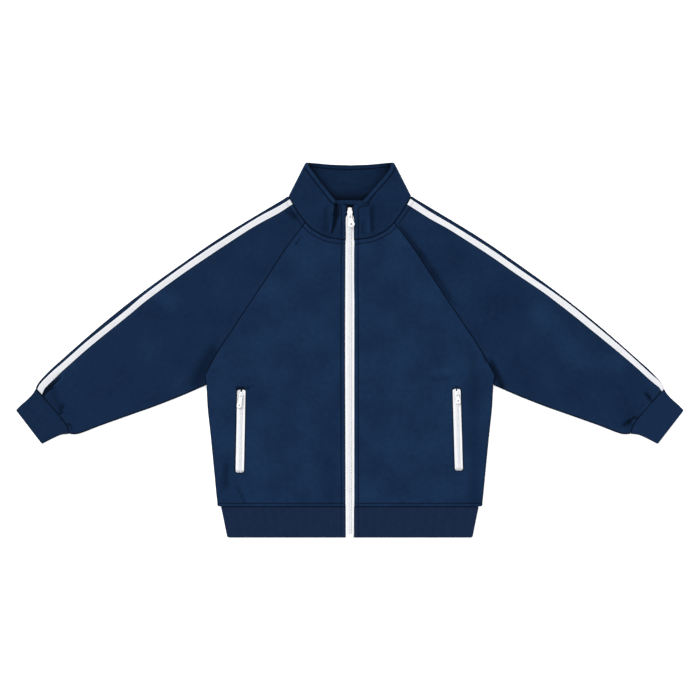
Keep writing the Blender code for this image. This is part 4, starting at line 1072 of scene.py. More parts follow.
def makeStripe(side):
    half = np.asarray(stripe["across"])
    across = np.concatenate([half, stripe["width"] - half[-2::-1]])
    share = np.linspace(0, 1, stripe["steps"])[:, None]
    long = line["sleeveTop"].length
    face = stripeFace(side, share, across)
    edge = np.minimum(across, stripe["width"] - across)
    ends = np.minimum(share, 1 - share) * long
    thick = stripe["thickness"] * (1 - 0.75 * rounding(np.minimum(ends, edge), 0.6))
    groove = bell(edge - stripe["edgeStitch"], 0.4)
    bar = bell(share * long - stripe["barStitch"], 0.4)
    lift = np.array([0, 0, stripe["lift"]])
    upper = face + lift
    upper[..., 2] += thick - stripe["grooveDepth"] * np.maximum(groove, bar)
    # painted shade in the edge stitch grooves and the bar, and over the middle
    shade = np.maximum(groove * 0.25, bar * 0.55) + stripe["greyer"][side] * ease(1.2, 2.2, edge)
    grain = np.dstack(np.broadcast_arrays(across, share * long))
    return shell(words[side] + "SleeveStripe", "stripe_" + words[side], side, upper, face + lift, "stripe",
                 np.clip(shade, 0, 1), grain=grain)


stripes = {side: makeStripe(side) for side in (left, right)}
print("sleeve tapes:", [len(piece.data.polygons) for piece in stripes.values()])


# Ribs: cuffs and hem band

ribbing = {"thickness": 2.2, "foldRadius": 2.6, "depth": 0.34, "rim": 1.05, "seamDepth": 1.2,
           "nearSeam": (0, .25, .6, 1.1, 1.8, 3), "nearRim": (0, .1, .3, .6, 1.05, 1.8, 3)}


def ribbed(grid, ring, phase, fade, seamAway, rimAway, extra=0.0):
    valley = 1 - np.abs(np.cos(np.pi * phase))**0.7      # round tops and narrow valleys
    cords = fade * (1 - ease(ribbing["rim"] * 1.6, 0, rimAway) * 0.4)
    rim = rounding(rimAway, ribbing["rim"]) * ribbing["thickness"] / 2
    detail = extra - ribbing["depth"] * valley * cords - ribbing["seamDepth"] * rounding(seamAway, 1.6) - rim
    inset = ribbing["thickness"] - rim
    normal = faceNormals(grid, ring, None)
    # painted shade in the valleys between the cords, along the seam and at the rim
    shade = highest(0.5 * valley**1.5 * cords, 0.5 * bell(seamAway, 0.6), 0.5 * bell(rimAway, 1.1))
    return grid + normal * detail[..., None], grid - normal * inset[..., None], np.clip(shade, 0, 1)


# the last entry: a painted highlight (below zero) or painted shade over each side's cuff
cuff = {"cords": 27, "perCord": 5, "rows": 12, "long": 46.0, "paintedShading": {left: -0.2, right: 0.06}}


def makeCuff(side):
    gap, radius = jacket["gap"] / cuff["long"], ribbing["foldRadius"]
    end = SmoothLine([corners["cuffEndTop"], corners["cuffEndBottom"]], 0)
    v = gap + (1 - gap) * spread(cuff["long"], ribbing["nearSeam"], ribbing["nearRim"], cuff["rows"])
    across = (1 - np.cos(np.linspace(0, np.pi, 7))) / 2 * 0.035
    middle = np.linspace(across[-1], 1 - across[-1], cuff["cords"] * cuff["perCord"])
    u, v = np.meshgrid(np.concatenate([across[:-1], middle, 1 - across[-2::-1]]), v)
    xy = coons(line["cuffSeam"], end, line["cuffSideTop"], line["cuffSideBottom"], u, v)
    x, y = xy[..., 0], xy[..., 1]
    foldAway = np.minimum(line["cuffSideTop"].away(x, y), line["cuffSideBottom"].away(x, y))
    fold = edgeFold(foldAway, radius)
    seamAway = line["cuffSeam"].away(x, y)
    soft = 0.5 * laidRelief(x * side, y) * ease(1, 9, foldAway)
    pucker = 0.25 * np.sin(u * 31 + 2 * np.sin(u * 9)) * bell(seamAway - 2, 5) * ease(1, 6, foldAway)
    over = np.dstack([xy, np.maximum(2 * radius + soft + pucker - fold, radius)])
    under = np.dstack([xy, np.minimum(fold, radius)])
    u, foldAway, seamAway, rimAway = (ringOf(field, field)
                                      for field in (u, foldAway, seamAway, end.away(x, y)))
    outer, inner, shade = ribbed(ringOf(over, under), True, u * cuff["cords"], ease(0.2, 1.6, foldAway),
                                 seamAway, rimAway)
    # painted shade at the folds, and each side's painted highlight or painted shade
    shade = np.maximum(shade, 0.55 * bell(foldAway, 1.6)) + cuff["paintedShading"][side]
    return shell(words[side] + "Cuff", "cuff_" + words[side], side, outer, inner, "cuffRib", shade,
                 ring=True, turn=-side * math.radians(52))


cuffs = {side: makeCuff(side) for side in (left, right)}

hem = {
    "levels": [(-234.0, 193.2), (-250.0, 189.8), (-277.6, 184.3), (-279.9, 183.2)],
    "frontCords": 74, "backCords": 76, "perCord": 4, "foldSteps": 9, "rows": 9,
    "nearZip": (0, .15, .4, .8, 1.3, 2.0, 3.0, 4.2, 5.0, 5.4, 5.7, 5.95, 6.2, 6.5, 6.9, 7.6),
}


def makeHemBand():
    radius, opening = ribbing["foldRadius"], jacket["zipOpening"]
    top, bottom = jacket["hemSeam"] - jacket["gap"], hem["levels"][-1][0]
    fallen = spread(top - bottom, ribbing["nearSeam"], ribbing["nearRim"], hem["rows"])
    y = (top + (bottom - top) * fallen)[:, None]
    wide = np.interp(y, *np.array(hem["levels"])[::-1].T)
    reach = wide - radius - opening
    zipShare = np.asarray(hem["nearZip"]) / reach.mean()
    share = np.append(zipShare[:-1], np.linspace(zipShare[-1], 1, hem["frontCords"] * hem["perCord"]))
    angle = np.linspace(0, np.pi, hem["foldSteps"])[1:-1]
    backShare = np.linspace(1, 0, hem["backCords"] * hem["perCord"] + 1)
    x = np.hstack([opening + reach * share, wide - radius + radius * np.sin(angle),
                   (wide - radius) * backShare])
    z = np.concatenate([np.full(len(share), 2 * radius), radius + radius * np.cos(angle), 0 * backShare])
    phase = np.concatenate([share * hem["frontCords"], hem["frontCords"] + 0 * angle,
                            (1 - backShare) * hem["backCords"]])
    zipAway = np.hstack([reach * share, np.full((len(y), len(angle) + len(backShare)), 99.0)])
    grid = np.dstack(np.broadcast_arrays(x, y, z))
    grid = meeting(onSide(grid, right), grid)
    zipAway, phase = (meeting(field, field) for field in (zipAway, phase + 0 * x))
    x, y = grid[..., 0], grid[..., 1]
    soft = laidRelief(x, y) * 0.5 + 0.12 * np.sin(x / 6.3 + 2 * np.sin(x / 19.0)) * bell(y - top, 9)
    grid[..., 2] += np.where(grid[..., 2] > 2 * radius - 0.01, soft * ease(0, 12, np.abs(y - bottom)), 0)
    groove = stitched(zipAway + opening - jacket["zipStitch"])
    extra = 0.25 * turnedUnder(zipAway, 5.0, 6.8) - groove - rounding(zipAway, 1.2) * 1.1
    outer, inner, shade = ribbed(grid, False, phase, toward(0.45, 1.0, ease(5, 7, zipAway)),
                                 top - y, y - bottom, extra)
    # painted shade in the topstitch groove
    shade = np.maximum(shade, 0.6 * groove / front["stitchDepth"])
    return shell("hemRib", "hem_band", left, outer, inner, "hemRib", shade)


hemRib = makeHemBand()
print("ribs:", [len(piece.data.polygons) for piece in (*cuffs.values(), hemRib)])


# Collar: one double band from zip to zip round the back of the neck

collar = {
    "thickness": 2.3, "foldAtSeam": 3.3, "foldAtTop": 4.0, "seamHeight": 6.6,
    "rimRadius": 1.2, "rimRise": 0.8,
    # top edge of each front half, x as on the wearer's left
    "topEdge": {
        left: [(0.3, 225.0), (7, 225.0), (13.5, 224.8), (18.6, 224.5), (21.4, 226.4), (28, 234.2),
               (40, 247.6), (52, 261.4), (59.6, 272.0), (62.3, 281.8)],
        right: [(0.3, 225.0), (7, 225.1), (14, 225.2), (20.4, 225.1), (23.2, 227.0), (29, 234.2), (40, 247.9),
                (52, 263.6), (60.5, 275.6), (62.3, 281.8)],
    },
    # which share of the top edge each place along the neck seam leads to
    "lean": [(0, 0), (18, 0.202), (22, 0.237), (27, 0.289), (38, 0.444), (50, 0.601), (66, 0.779),
             (94.3, 0.925)],
    # heights of the top edge by place along the neck seam: the pleat beside the zip, then the roll
    "topHeights": {
        left: [(0, 10.0), (9, 10.4), (15, 10.7), (19, 12.2), (22.5, 13.8), (25.5, 13.6), (29, 12.2),
               (32.5, 11.7), (37, 12.9), (43, 13.6), (52, 12.9), (66, 11.4), (86, 9.7), (108.7, 8.0)],
        right: [(0, 10.0), (9.5, 10.2), (12.5, 9.7), (15.5, 8.3), (18.5, 7.7), (20.7, 8.2), (22.0, 11.4),
                (23.2, 14.3), (25.2, 14.6), (29, 14.0), (38, 13.7), (50, 12.8), (66, 11.3), (86, 9.7),
                (108.7, 8.0)],
    },
    "nearZip": (0, .2, .45, .8, 1.2, 1.7, 2.4, 3.3, 4.2, 4.9, 5.3, 5.65, 5.95, 6.3, 6.7, 7.3, 8.2, 9.2),
    "pleatStep": 0.55, "pleatEnd": 38.0, "step": 2.2,
    "nearSeam": (0, .25, .5, .8, 1.2, 1.7, 2.4, 3.4, 5.0),
    "nearTop": (0, .08, .22, .42, .7, 1.0, 1.4, 1.9, 2.5, 3.2, 3.9, 4.6, 5.2, 5.7, 6.1, 6.45, 6.75, 7.05,
                7.4, 7.8, 8.3, 9.0, 10.0, 11.5),
    "rows": 24, "backColumns": 44, "foldSteps": 11,
    "backStitch": 6.2, "cornerDrop": 0.6, "cornerLift": 1.5, "high": 60.0,
    # where the topstitch joins the rim, and its turn: a height beside the zip, then points
    "stitchTurn": {left: (30.5, [211.8, (13.4, 213.9), (14.9, 214.7), (18.5, 215.2), (23.0, 216.0),
                                 (27.0, 217.2)]),
                   right: (26.5, [210.8, (13.3, 214.6), (14.6, 217.0), (16.6, 217.8), (20.0, 217.9),
                                  (23.5, 218.0)])},
    # creases on the inside of the back: x1, y1, x2, y2, widths, height
    "backCreases": [(-14, 260, 24, 253.5, 2.4, 3.2, -0.5), (-12, 256.5, 22, 250.5, 3, 4, 0.4),
                    (23, 240, 38, 245.5, 2.0, 2.4, -0.5), (24, 236, 40, 241, 2.4, 2.6, 0.4),
                    (-50, 262, -30, 236, 4, 6, -0.45), (48, 268, 30, 240, 5, 6, -0.4)],
}

collarTop = {side: SmoothLine(points, 8) for side, points in collar["topEdge"].items()}
collarEnd = line["neck"].length - collar["foldAtSeam"]
collarSide = SmoothLine([corners["shoulder"], corners["collar"]], 0)
# the rim's edge on each side, up to the corner
collarRim = {side: joined(top, SmoothLine([top.points[-1], corners["collar"]], 0))
             for side, top in collarTop.items()}


def collarEdge(y):
    opening = toward(jacket["zipOpening"], jacket["zipOpeningAtTop"], ease(*jacket["zipNarrows"], y))
    return toward(opening, 0.05, ease(*jacket["zipCloses"], y))


def collarFront(side, along, share):
    # a point on the front half: place along the neck seam, share of the way up to the top edge
    along, share = np.broadcast_arrays(along, share)
    places, leans = np.array(collar["lean"] + [(collarEnd, 1.0)]).T
    seam = line["neck"].at(along)
    top = collarTop[side].part(np.interp(along, places, leans))
    xy = seam + (top - seam) * share[..., None]
    x, y = xy[..., 0], xy[..., 1]
    start = toward(jacket["zipOpening"], 0.3, share)
    x = x + (collarEdge(y) - start) * (1 - ease(0, 13, along))
    heights = SmoothLine(collar["topHeights"][side], 10).points
    height = np.interp(along, heights[:, 0], heights[:, 1]) - collar["seamHeight"]
    climb = toward(ease(0, 0.56, share), share**0.8, ease(14, 24, along))
    bulge = 0.9 * np.sin(np.pi * share) * ease(26, 60, along) * (1 - ease(80, collarEnd, along))
    return np.stack([x, y, collar["seamHeight"] + height * climb + bulge], -1)


def collarHalf(side, v):
    # columns from the zip round the side fold to the middle of the back, a row for each share v
    zipBlock, end = collar["nearZip"], collar["pleatEnd"]
    pleats = np.arange(zipBlock[-1] + collar["pleatStep"], end, collar["pleatStep"])
    rest = np.linspace(end, collarEnd, int((collarEnd - end) / collar["step"]))
    along = np.concatenate([zipBlock, pleats, rest])
    v = v[:, None]
    frontHalf = collarFront(side, along, v)
    shoulder, corner = np.array(corners["shoulder"]), np.array(corners["collar"])
    edge = toward(shoulder, corner, v)
    radius = toward(collar["foldAtSeam"], collar["foldAtTop"], v)
    start = frontHalf[:, -1, :2]
    fold = (corner - shoulder)[::-1] * -flip
    outward = fold / np.linalg.norm(fold)
    seamEnd = line["neckBack"].length - collar["foldAtSeam"]
    backCorner = corner - outward * collar["foldAtTop"] + (0, collar["cornerLift"])
    backStart = toward(line["neckBack"].at(seamEnd), backCorner, v)
    angle = np.linspace(0, np.pi, collar["foldSteps"])
    near = (1 - np.sin(angle))[None, :, None]
    ends = np.where((angle < np.pi / 2)[None, :, None], start[:, None], backStart[:, None])
    arc = np.dstack([edge[:, None] + (ends - edge[:, None]) * near, radius + radius * np.cos(angle)])
    reach = np.linspace(1, 0, collar["backColumns"] + 1)[1:]
    backTop = SmoothLine([*outlines["collarBackTop"][:-1], tuple(backCorner)])
    backHalf = toward(line["neckBack"].trimmed(0, seamEnd).part(reach), backTop.part(reach), v[..., None])
    backHalf = np.dstack([backHalf, 0 * backHalf[..., 0]])
    grid = np.hstack([frontHalf, arc[:, 1:], backHalf])
    # the top corner is a little rounded
    away = np.linalg.norm(grid[..., :2] - corner, axis=-1)
    drawnIn = collar["cornerDrop"] * np.clip(1 - away / 5.0, 0, 1)**2
    grid[..., :2] -= drawnIn[..., None] * (0.5, 0.9)
    return grid, np.arange(grid.shape[1]) < len(along)


def collarDetail(side, x, y, isFront):
    # rim roll, topstitch groove and seam allowance on the outside; x as on the wearer's left
    topAway = collarRim[side].away(x, y)
    zipAway = x - collarEdge(y)
    rim = collar["rimRise"] * np.sqrt(np.clip(1 - ((topAway - 3.3) / 3.5)**2, 0, 1))
    band = front["allowance"] * turnedUnder(zipAway, 4.6, 6.4) * ease(8, 14, topAway)
    groove = stitched(collarStitch(side).away(x, y)) * 1.15
    return (rim + band) * isFront, groove * isFront, topAway, zipAway


def collarStitch(side):
    # up beside the zip, a small turn, then along below the rim to the corner
    turn = jacket["zipStitch"]
    joinFrom, bends = collar["stitchTurn"][side]
    rest = [tuple(p) for p in collarTop[side].beside(-jacket["rimStitch"]).points if p[0] > joinFrom]
    start = [(turn, y) for y in np.linspace(162, 208, 18)]
    corner = SmoothLine([(turn, 209), (turn, bends[0]), *bends[1:], rest[0]], 5)
    return SmoothLine(start + [tuple(p) for p in corner.points] + rest[1:], 0)


def insidePaintedShade(side, x, y, away):
    # painted shade on the inside of the back: it darkens toward the rims, the corners and the band above the
    # zip, and along the back stitching and top edge
    facts = paintedLightAndShade["inside"]
    ownSide = collarRim[side].away(x, y)
    paintedShading = facts["base"] + facts["rim"][0] * (1.0 if side == right else 0.55) * bell(ownSide, facts["rim"][1])
    fromCorner = np.hypot(x - corners["collar"][0] + 6, y - corners["collar"][1] + 8)
    paintedShading = paintedShading + facts["corner"][0] * bell(fromCorner, facts["corner"][1])
    paintedShading = paintedShading + facts["band"][0] * bell(np.maximum(y - 227, 0), facts["band"][1])
    return np.clip(paintedShading + 0.6 * bell(away - collar["backStitch"], 0.7) + 0.35 * bell(away - 0.8, 0.8), 0, 1)


def collarFields(side, half, isFront, v):
    # how far the face stands out and the inside lies in, and the painted shade of both
    x, y = half[..., 0], half[..., 1]
    seamHigh, away = v * collar["high"] + 0 * x, (1 - v) * collar["high"] + 0 * x
    raised, groove, topAway, zipAway = collarDetail(side, x, y, isFront)
    seamAway = np.minimum(np.where(isFront, line["neck"].away(x, y), 99), seamHigh)
    rimAway = np.where(isFront, np.minimum(topAway, away * 1.2), away)
    openAway = np.maximum(zipAway, 0) + 9 * ease(216.5, 218.6, y)
    edge = np.where(isFront, np.minimum(rimAway, openAway), rimAway)
    rim = rounding(edge, collar["rimRadius"]) * collar["thickness"] / 2 * 0.96
    inside = strokes(collar["backCreases"], x * side, y) + laidRelief(x * side + 300, y)
    inside = inside * ease(1.5, 7, away)
    inside = inside + 0.35 * np.sqrt(np.clip(1 - ((away - 3.0) / 3.2)**2, 0, 1))
    inside = inside - stitched(away - collar["backStitch"])
    # painted shade along the neck seam, the topstitch and the side fold and a little over the whole front; at
    # the rim painted shade at its edge and stitch line and a painted highlight on its crest
    paintedShading = np.maximum(0.8 * bell(seamAway, 0.85), 0.75 * groove / front["stitchDepth"]) + 0.14
    paintedShading = paintedShading + 0.45 * bell(collarSide.away(x, y), 1.7)
    rimPaintedShade = 0.45 * bell(topAway - 0.2, 0.5) + 0.25 * bell(topAway - 6.2, 0.8)
    rimPaintedShade = rimPaintedShade - 0.2 * bell(topAway - 3.0, 1.6)
    paintedShading = paintedShading + rimPaintedShade * ease(19, 24, x) + strokes(paintedLightAndShade["collar"], x * side, y)
    shade = np.where(isFront, np.clip(paintedShading, -1, 1), 0.5 * bell(seamAway, 0.85))
    inset = collar["thickness"] - rim + np.where(isFront, 0, inside)
    detail = raised - groove - rounding(seamAway, 1.4) - rim
    return onSide(half, side), detail, inset, shade, insidePaintedShade(side, x, y, away)


def makeCollar():
    gap = jacket["gap"] / collar["high"]
    v = gap + (1 - gap) * spread(collar["high"], collar["nearSeam"], collar["nearTop"], collar["rows"])
    fields = [collarFields(side, *collarHalf(side, v), v[:, None]) for side in (right, left)]
    grid, detail, inset, shade, under = (meeting(*pair) for pair in zip(*fields))
    normal = faceNormals(grid, False, None)
    outer = grid + normal * detail[..., None]
    outer[..., 2] = np.maximum(outer[..., 2], 0)
    inner = grid - normal * inset[..., None]
    return shell("neckCollar", "collar", left, outer, inner, "tricot", shade, under)


neckCollar = makeCollar()
print("collar:", len(neckCollar.data.polygons))


# Rows of small repeated pieces along a path: stitches and zip teeth

def makeRowTree():
    tree = bpy.data.node_groups.new("rowAlongPath", "GeometryNodeTree")
    sockets = {}
    wanted = {"Path": "Geometry", "Pitch": "Float", "From": "Vector", "To": "Vector", "Thickness": "Float",
              "Swell": "Float", "Tall": "Float", "Rings": "Int", "Sides": "Int", "Unevenness": "Float",
              "Seed": "Int", "Finish": "Material"}
    for title, kind in wanted.items():
        socket = tree.interface.new_socket(title, in_out="INPUT", socket_type="NodeSocket" + kind)
        sockets[title] = socket.identifier
    tree.interface.new_socket("Row", in_out="OUTPUT", socket_type="NodeSocketGeometry")
    bench = Bench(tree)

    def geometry(kind, inputs, **settings):
        return bench.node("GeometryNode" + kind, settings, inputs)

    path = bench.node("NodeGroupInput", {}, {}, "Path")
    given = dict(zip(sockets, [path] + bench.others(path, *list(sockets)[1:])))
    curve = geometry("MeshToCurve", {"Mesh": path})
    points = geometry("ResampleCurve", {"Curve": curve, "Length": given["Pitch"]}, mode="LENGTH")
    # one rounded bar, fuller toward its far end when it swells
    bar = geometry("CurvePrimitiveLine", {"Start": given["From"], "End": given["To"]})
    bar = geometry("ResampleCurve", {"Curve": bar, "Count": given["Rings"]}, mode="COUNT")
    place = bench.node("GeometryNodeSplineParameter", {}, {}, "Factor")
    fuller = bench.node("ShaderNodeMapRange", {}, {"Value": place, "From Min": 0.22, "From Max": 0.45})
    rounded = (1 - (place * 2 - 1).size() ** 5 * 0.92) ** 0.5
    radius = given["Thickness"] * (given["Swell"] * fuller + 1) * rounded
    circle = geometry("CurvePrimitiveCircle", {"Resolution": given["Sides"], "Radius": 1.0})
    bar = geometry("CurveToMesh", {"Curve": bar, "Profile Curve": circle, "Scale": radius, "Fill Caps": True})
    tangent = bench.node("GeometryNodeInputTangent")
    turn = bench.node("FunctionNodeAlignRotationToVector", {"axis": "Y"}, {"Vector": tangent})
    turn = bench.node("FunctionNodeAlignRotationToVector", {"axis": "Z", "pivot_axis": "Y"},
                      {"Rotation": turn, "Vector": (0, 0, 1)})
    odd = bench.node("FunctionNodeRandomValue", {"data_type": "FLOAT"},
                     {"Min_001": -1.0, "Max_001": 1.0, "Seed": given["Seed"]}, "Value_001")
    wide = odd * given["Unevenness"] + 1
    size = bench.node("ShaderNodeCombineXYZ", {}, {"X": 1.0, "Y": wide, "Z": given["Tall"] * wide})
    rows = geometry("InstanceOnPoints", {"Points": points, "Instance": bar, "Rotation": turn, "Scale": size})
    made = geometry("RealizeInstances", {"Geometry": rows})
    made = geometry("SetMaterial", {"Geometry": made, "Material": given["Finish"]})
    bench.node("NodeGroupOutput", {}, {"Row": made})
    return tree, sockets


rowTree, rowSockets = makeRowTree()


def plainCopy(made, name):
    # the object with its modifiers worked out, as a plain mesh of its own
    bpy.context.view_layer.update()
    mesh = bpy.data.meshes.new_from_object(made.evaluated_get(bpy.context.evaluated_depsgraph_get()))
    old = made.data
    made.modifiers.clear()
    made.data = mesh
    bpy.data.meshes.remove(old)
    mesh.name = name
    return made


def rowAlong(name, node, paths, finish, pitch, start, end, thickness, rings, uneven, seed, swell=0.0,
             tall=1.0):
    points = np.vstack(paths)
    ends = np.cumsum([len(path) for path in paths])
    edges = [(i, i + 1) for i in range(len(points) - 1) if i + 1 not in ends]
    mesh = bpy.data.meshes.new(name + "Path")
    mesh.from_pydata((points * mm).tolist(), edges, [])
    made = bpy.data.objects.new(name, mesh)
    bpy.context.scene.collection.objects.link(made)
    modifier = made.modifiers.new("row", "NODES")
    modifier.node_group = rowTree
    given = {"Pitch": pitch * mm, "From": [v * mm for v in start], "To": [v * mm for v in end],
             "Thickness": thickness * mm, "Swell": swell, "Tall": tall, "Rings": rings, "Sides": 6,
             "Unevenness": uneven, "Seed": seed, "Finish": finishes[finish]}
    for key, value in given.items():
        modifier[rowSockets[key]] = value
    plainCopy(made, name)
    made.data.shade_smooth()
    return dressed(made, node)


# Zips

zips = {
    # width, length, axis, post and foot are the slider's; window, eye and hole are the pull tab's
    "front": {"height": 1.8, "split": 0.3, "parting": 0.0, "reach": 16.0, "start": 2.4, "level": 3.9,
              "climb": 4.4, "width": 4.4, "length": 14.0, "axis": 11.3, "post": (1.2, 4.2), "foot": 1.0,
              "chain": 3.0, "pullLength": 18.4, "pullWidth": 5.0, "eye": 2.5, "window": 4.2, "hole": 1.75,
              "topEdge": 3.1, "pitch": 2.2, "toothHead": -0.62, "toothEnd": 2.75, "tooth": 0.5,
              "swell": 0.55},
    "pocket": {"height": 1.5, "split": 0.25, "reach": 10.5, "start": 3.4, "width": 3.5, "length": 9.0,
               "axis": 4.2, "post": (0.9, 2.9), "foot": 0.8, "chain": 2.2, "pullWidth": 3.6, "eye": 2.2,
               "window": 3.6, "hole": 1.35, "pitch": 1.6, "toothHead": -0.45, "toothEnd": 2.05,
               "tooth": 0.36, "swell": 0.55},
    # the pocket zips lie differently: how far open at the top, the pull tab's length and tilt, and painted
    # shadows
    left: {"parting": 0.5, "pullLength": 15.0, "tilt": -9.0, "smudges": []},
    right: {"parting": 1.1, "pullLength": 20.5, "tilt": 9.5,
            "smudges": [(4.6, 0.5, 4.2, 15.0, 2.6, 1.8, 0.6)]},
    "gap": 0.3, "plate": 0.9, "lowerPlate": 0.7, "flange": 0.9, "tape": 1.0,
    "bridgeHalf": 0.7, "bridgeClear": 1.15, "bridgePlay": 0.45, "bridgeBar": 0.8,
    "pullThick": 1.2, "holeFromEnd": 3.8, "soften": 0.22,
    "boxStart": 491.3, "boxLevel": 4.2,      # the box at the hem, and where along the zip it starts
}


class ZipRun:
    # a zip's own frame: a across it, s down from its top
    def __init__(self, top, bottom, level, hinge):
        self.hinge = hinge
        self.top = np.array(top, float)
        run = np.array(bottom, float) - self.top
        self.length = np.linalg.norm(run)
        self.down = run / self.length
        self.across = np.array([-self.down[1], self.down[0]])
        self.level = level

    def place(self, a, s, z=0.0, flat=None):
        # world points z above the tape, or above one fixed height
        a, s, z = np.broadcast_arrays(np.asarray(a, float), np.asarray(s, float), np.asarray(z, float))
        xy = self.top + self.across * a[..., None] + self.down * s[..., None]
        base = self.level(xy[..., 0], xy[..., 1]) if flat is None else flat
        return np.dstack([xy, (base + z)[..., None]]) if a.ndim == 2 else np.column_stack([xy, base + z])


def frontTapeLevel(x, y):
    return zips["front"]["level"] + zips["front"]["climb"] * ease(jacket["neckLevel"], 198.0, y) + 0 * x


def pocketTapeLevel(side):
    return lambda x, y: frontField(side, x * side, y)[0] - jacket["cloth"] - zips["gap"]


# the last number is the height of the pull tab's hinge
frontRun = ZipRun((0, jacket["zipTop"]), (0, jacket["zipBottom"]), frontTapeLevel, 12.75)
pocketRuns = {side: ZipRun(*((x * side, y) for x, y in (ends["top"], ends["bottom"])),
                           pocketTapeLevel(side), 8.11)
              for side, ends in pockets.items()}


def makeZipTape(name, run, side, size, rows, node, smudges=()):
    # rows give distances down the zip and the tape's outer edge there
    s, edge = np.array(rows).T[..., None]
    inner = size["split"] + size["parting"] * (1 - ease(2.2, 4.8, s))
    near = np.array([0, .12, .3, .7, 1.4, 2.0, 2.5, 2.75, 3.0, 3.3, 3.8, 4.6, 5.4, 6.1])
    a = inner + (edge - inner) * np.append(near / near[-1] * 0.55, [0.66, 0.8, 0.92, 0.975, 1.0])
    wide = np.minimum(a - inner, edge - a)
    wave = 0.07 * np.sin(s / 5.3 + 1.1 * np.sin(s / 13.7)) * ease(2.5, 5.5, a)
    rise = 0.35 * bell(a - inner - 0.55, 0.4) + wave - 0.4 * rounding(wide, 0.5)      # a cord, then the web
    besideChain = bell(a - size["chain"] - 0.15, 0.28)
    ribs = 0.5 * bell(np.mod(a - size["chain"], 1.5) - 0.75, 0.22) * (a > size["chain"] + 0.4)
    # painted shade where the edges roll under, a darker line beside the chain and on the woven ribs, and the
    # painted shadows
    shade = 0.45 * besideChain + 0.18 * ribs + 0.4 * rounding(wide, 0.35) + strokes(smudges, a, s)
    outer = run.place(side * a, s, rise - 0.08 * besideChain)
    under = run.place(side * a, s, 0.2 * rounding(wide, 0.5) - zips["tape"])
    return shell(name, node, left, outer, under, "zipTape", np.clip(shade, 0, 1),
                 grain=np.dstack(np.broadcast_arrays(a, s)))


def makeTeeth(name, run, size, start, end, node):
    # two rows that mesh: the second runs back up, half a pitch on
    half = size["pitch"] / 2
    count = int((end - start - half) / size["pitch"])
    s = np.linspace(start, start + count * size["pitch"], count + 1)
    middle = size["height"] / 2 + zips["gap"] * 0.5
    rows = [run.place(0 * s, s, middle), run.place(0 * s, s + half, middle)[::-1]]
    tall = size["height"] / 2 / (size["tooth"] * (1 + size["swell"]))
    rowAlong(name, node, rows, "plastic", size["pitch"], (size["toothHead"], 0, 0), (size["toothEnd"], 0, 0),
             size["tooth"], 7, 0.04, 3, size["swell"], tall)


def block(outline, low, high):
    # a closed block between two matching loops of points
    count = len(outline)
    points = np.vstack([np.column_stack([outline, np.full(count, z)]) for z in (low, high)])
    faces = [tuple(range(count))[::-1], tuple(range(count, 2 * count))]
    faces += [(i, (i + 1) % count, (i + 1) % count + count, i + count) for i in range(count)]
    return points, faces


def roundedLoop(rows, steps=6):
    # a closed outline, even about its middle, from (half width, distance down) rows that start and end there
    curve = SmoothLine(rows, steps).points
    return np.vstack([curve, (curve * flip)[::-1][1:-1]])


def oval(centre, reachA, reachS, power):
    angle = np.linspace(0, math.tau, 20, endpoint=False)
    cos, sin = np.cos(angle), np.sin(angle)
    return np.column_stack([centre[0] + reachA * np.sign(cos) * np.abs(cos)**(2 / power),
                            centre[1] + reachS * np.sign(sin) * np.abs(sin)**(2 / power)])


def rectangle(a0, a1, s0, s1):
    return np.array([(a0, s0), (a1, s0), (a1, s1), (a0, s1)])


def inWorld(run, shape, start, height, tilt=0.0):
    # moves a shape from the zip's own frame to the world, turned a little in its plane
    points, faces = shape
    cos, sin = math.cos(tilt), math.sin(tilt)
    a = points[:, 0] * cos - points[:, 1] * sin
    s = points[:, 0] * sin + points[:, 1] * cos
    world = run.place(a, s + start, points[:, 2], flat=height)
    out = world - world.mean(axis=0)
    volume = sum(np.dot(np.cross(out[face[0]], out[face[i]]), out[face[i + 1]])
                 for face in faces for i in range(1, len(face) - 1))
    return world, faces if volume > 0 else [face[::-1] for face in faces]


def carved(name, run, shape, kind, others, place, node, body="jacket", finish="enamel",
           soften=zips["soften"]):
    # a block joined with or cut by others in the zip's own frame, its edges softened
    made = paintedMesh(name, *inWorld(run, shape, *place), finishes[finish], smooth=35)
    tools = []
    for other in others:
        tools.append(paintedMesh(name + "Tool", *inWorld(run, other, *place), finishes[finish]))
        modifier = made.modifiers.new(kind, "BOOLEAN")
        modifier.operation = kind
        modifier.solver = "EXACT"
        modifier.object = tools[-1]
    modifier = made.modifiers.new("soften", "BEVEL")
    modifier.width = soften * mm
    modifier.segments = 2
    modifier.limit_method = "ANGLE"
    modifier.angle_limit = math.radians(32)
    plainCopy(made, name)
    for tool in tools:
        mesh = tool.data
        bpy.data.objects.remove(tool)
        bpy.data.meshes.remove(mesh)
    made.data.shade_smooth()
    made.data.set_sharp_from_angle(angle=math.radians(40))
    return dressed(made, node, body)


def sliderHeights(run, size):
    # the pull tab's axis lies at the height of its hinge; the slider hangs from that
    low = zips["gap"] * 2 + size["height"]
    top = low + zips["plate"]
    axis = top + zips["bridgeClear"]
    return run.hinge - axis, low, top, axis


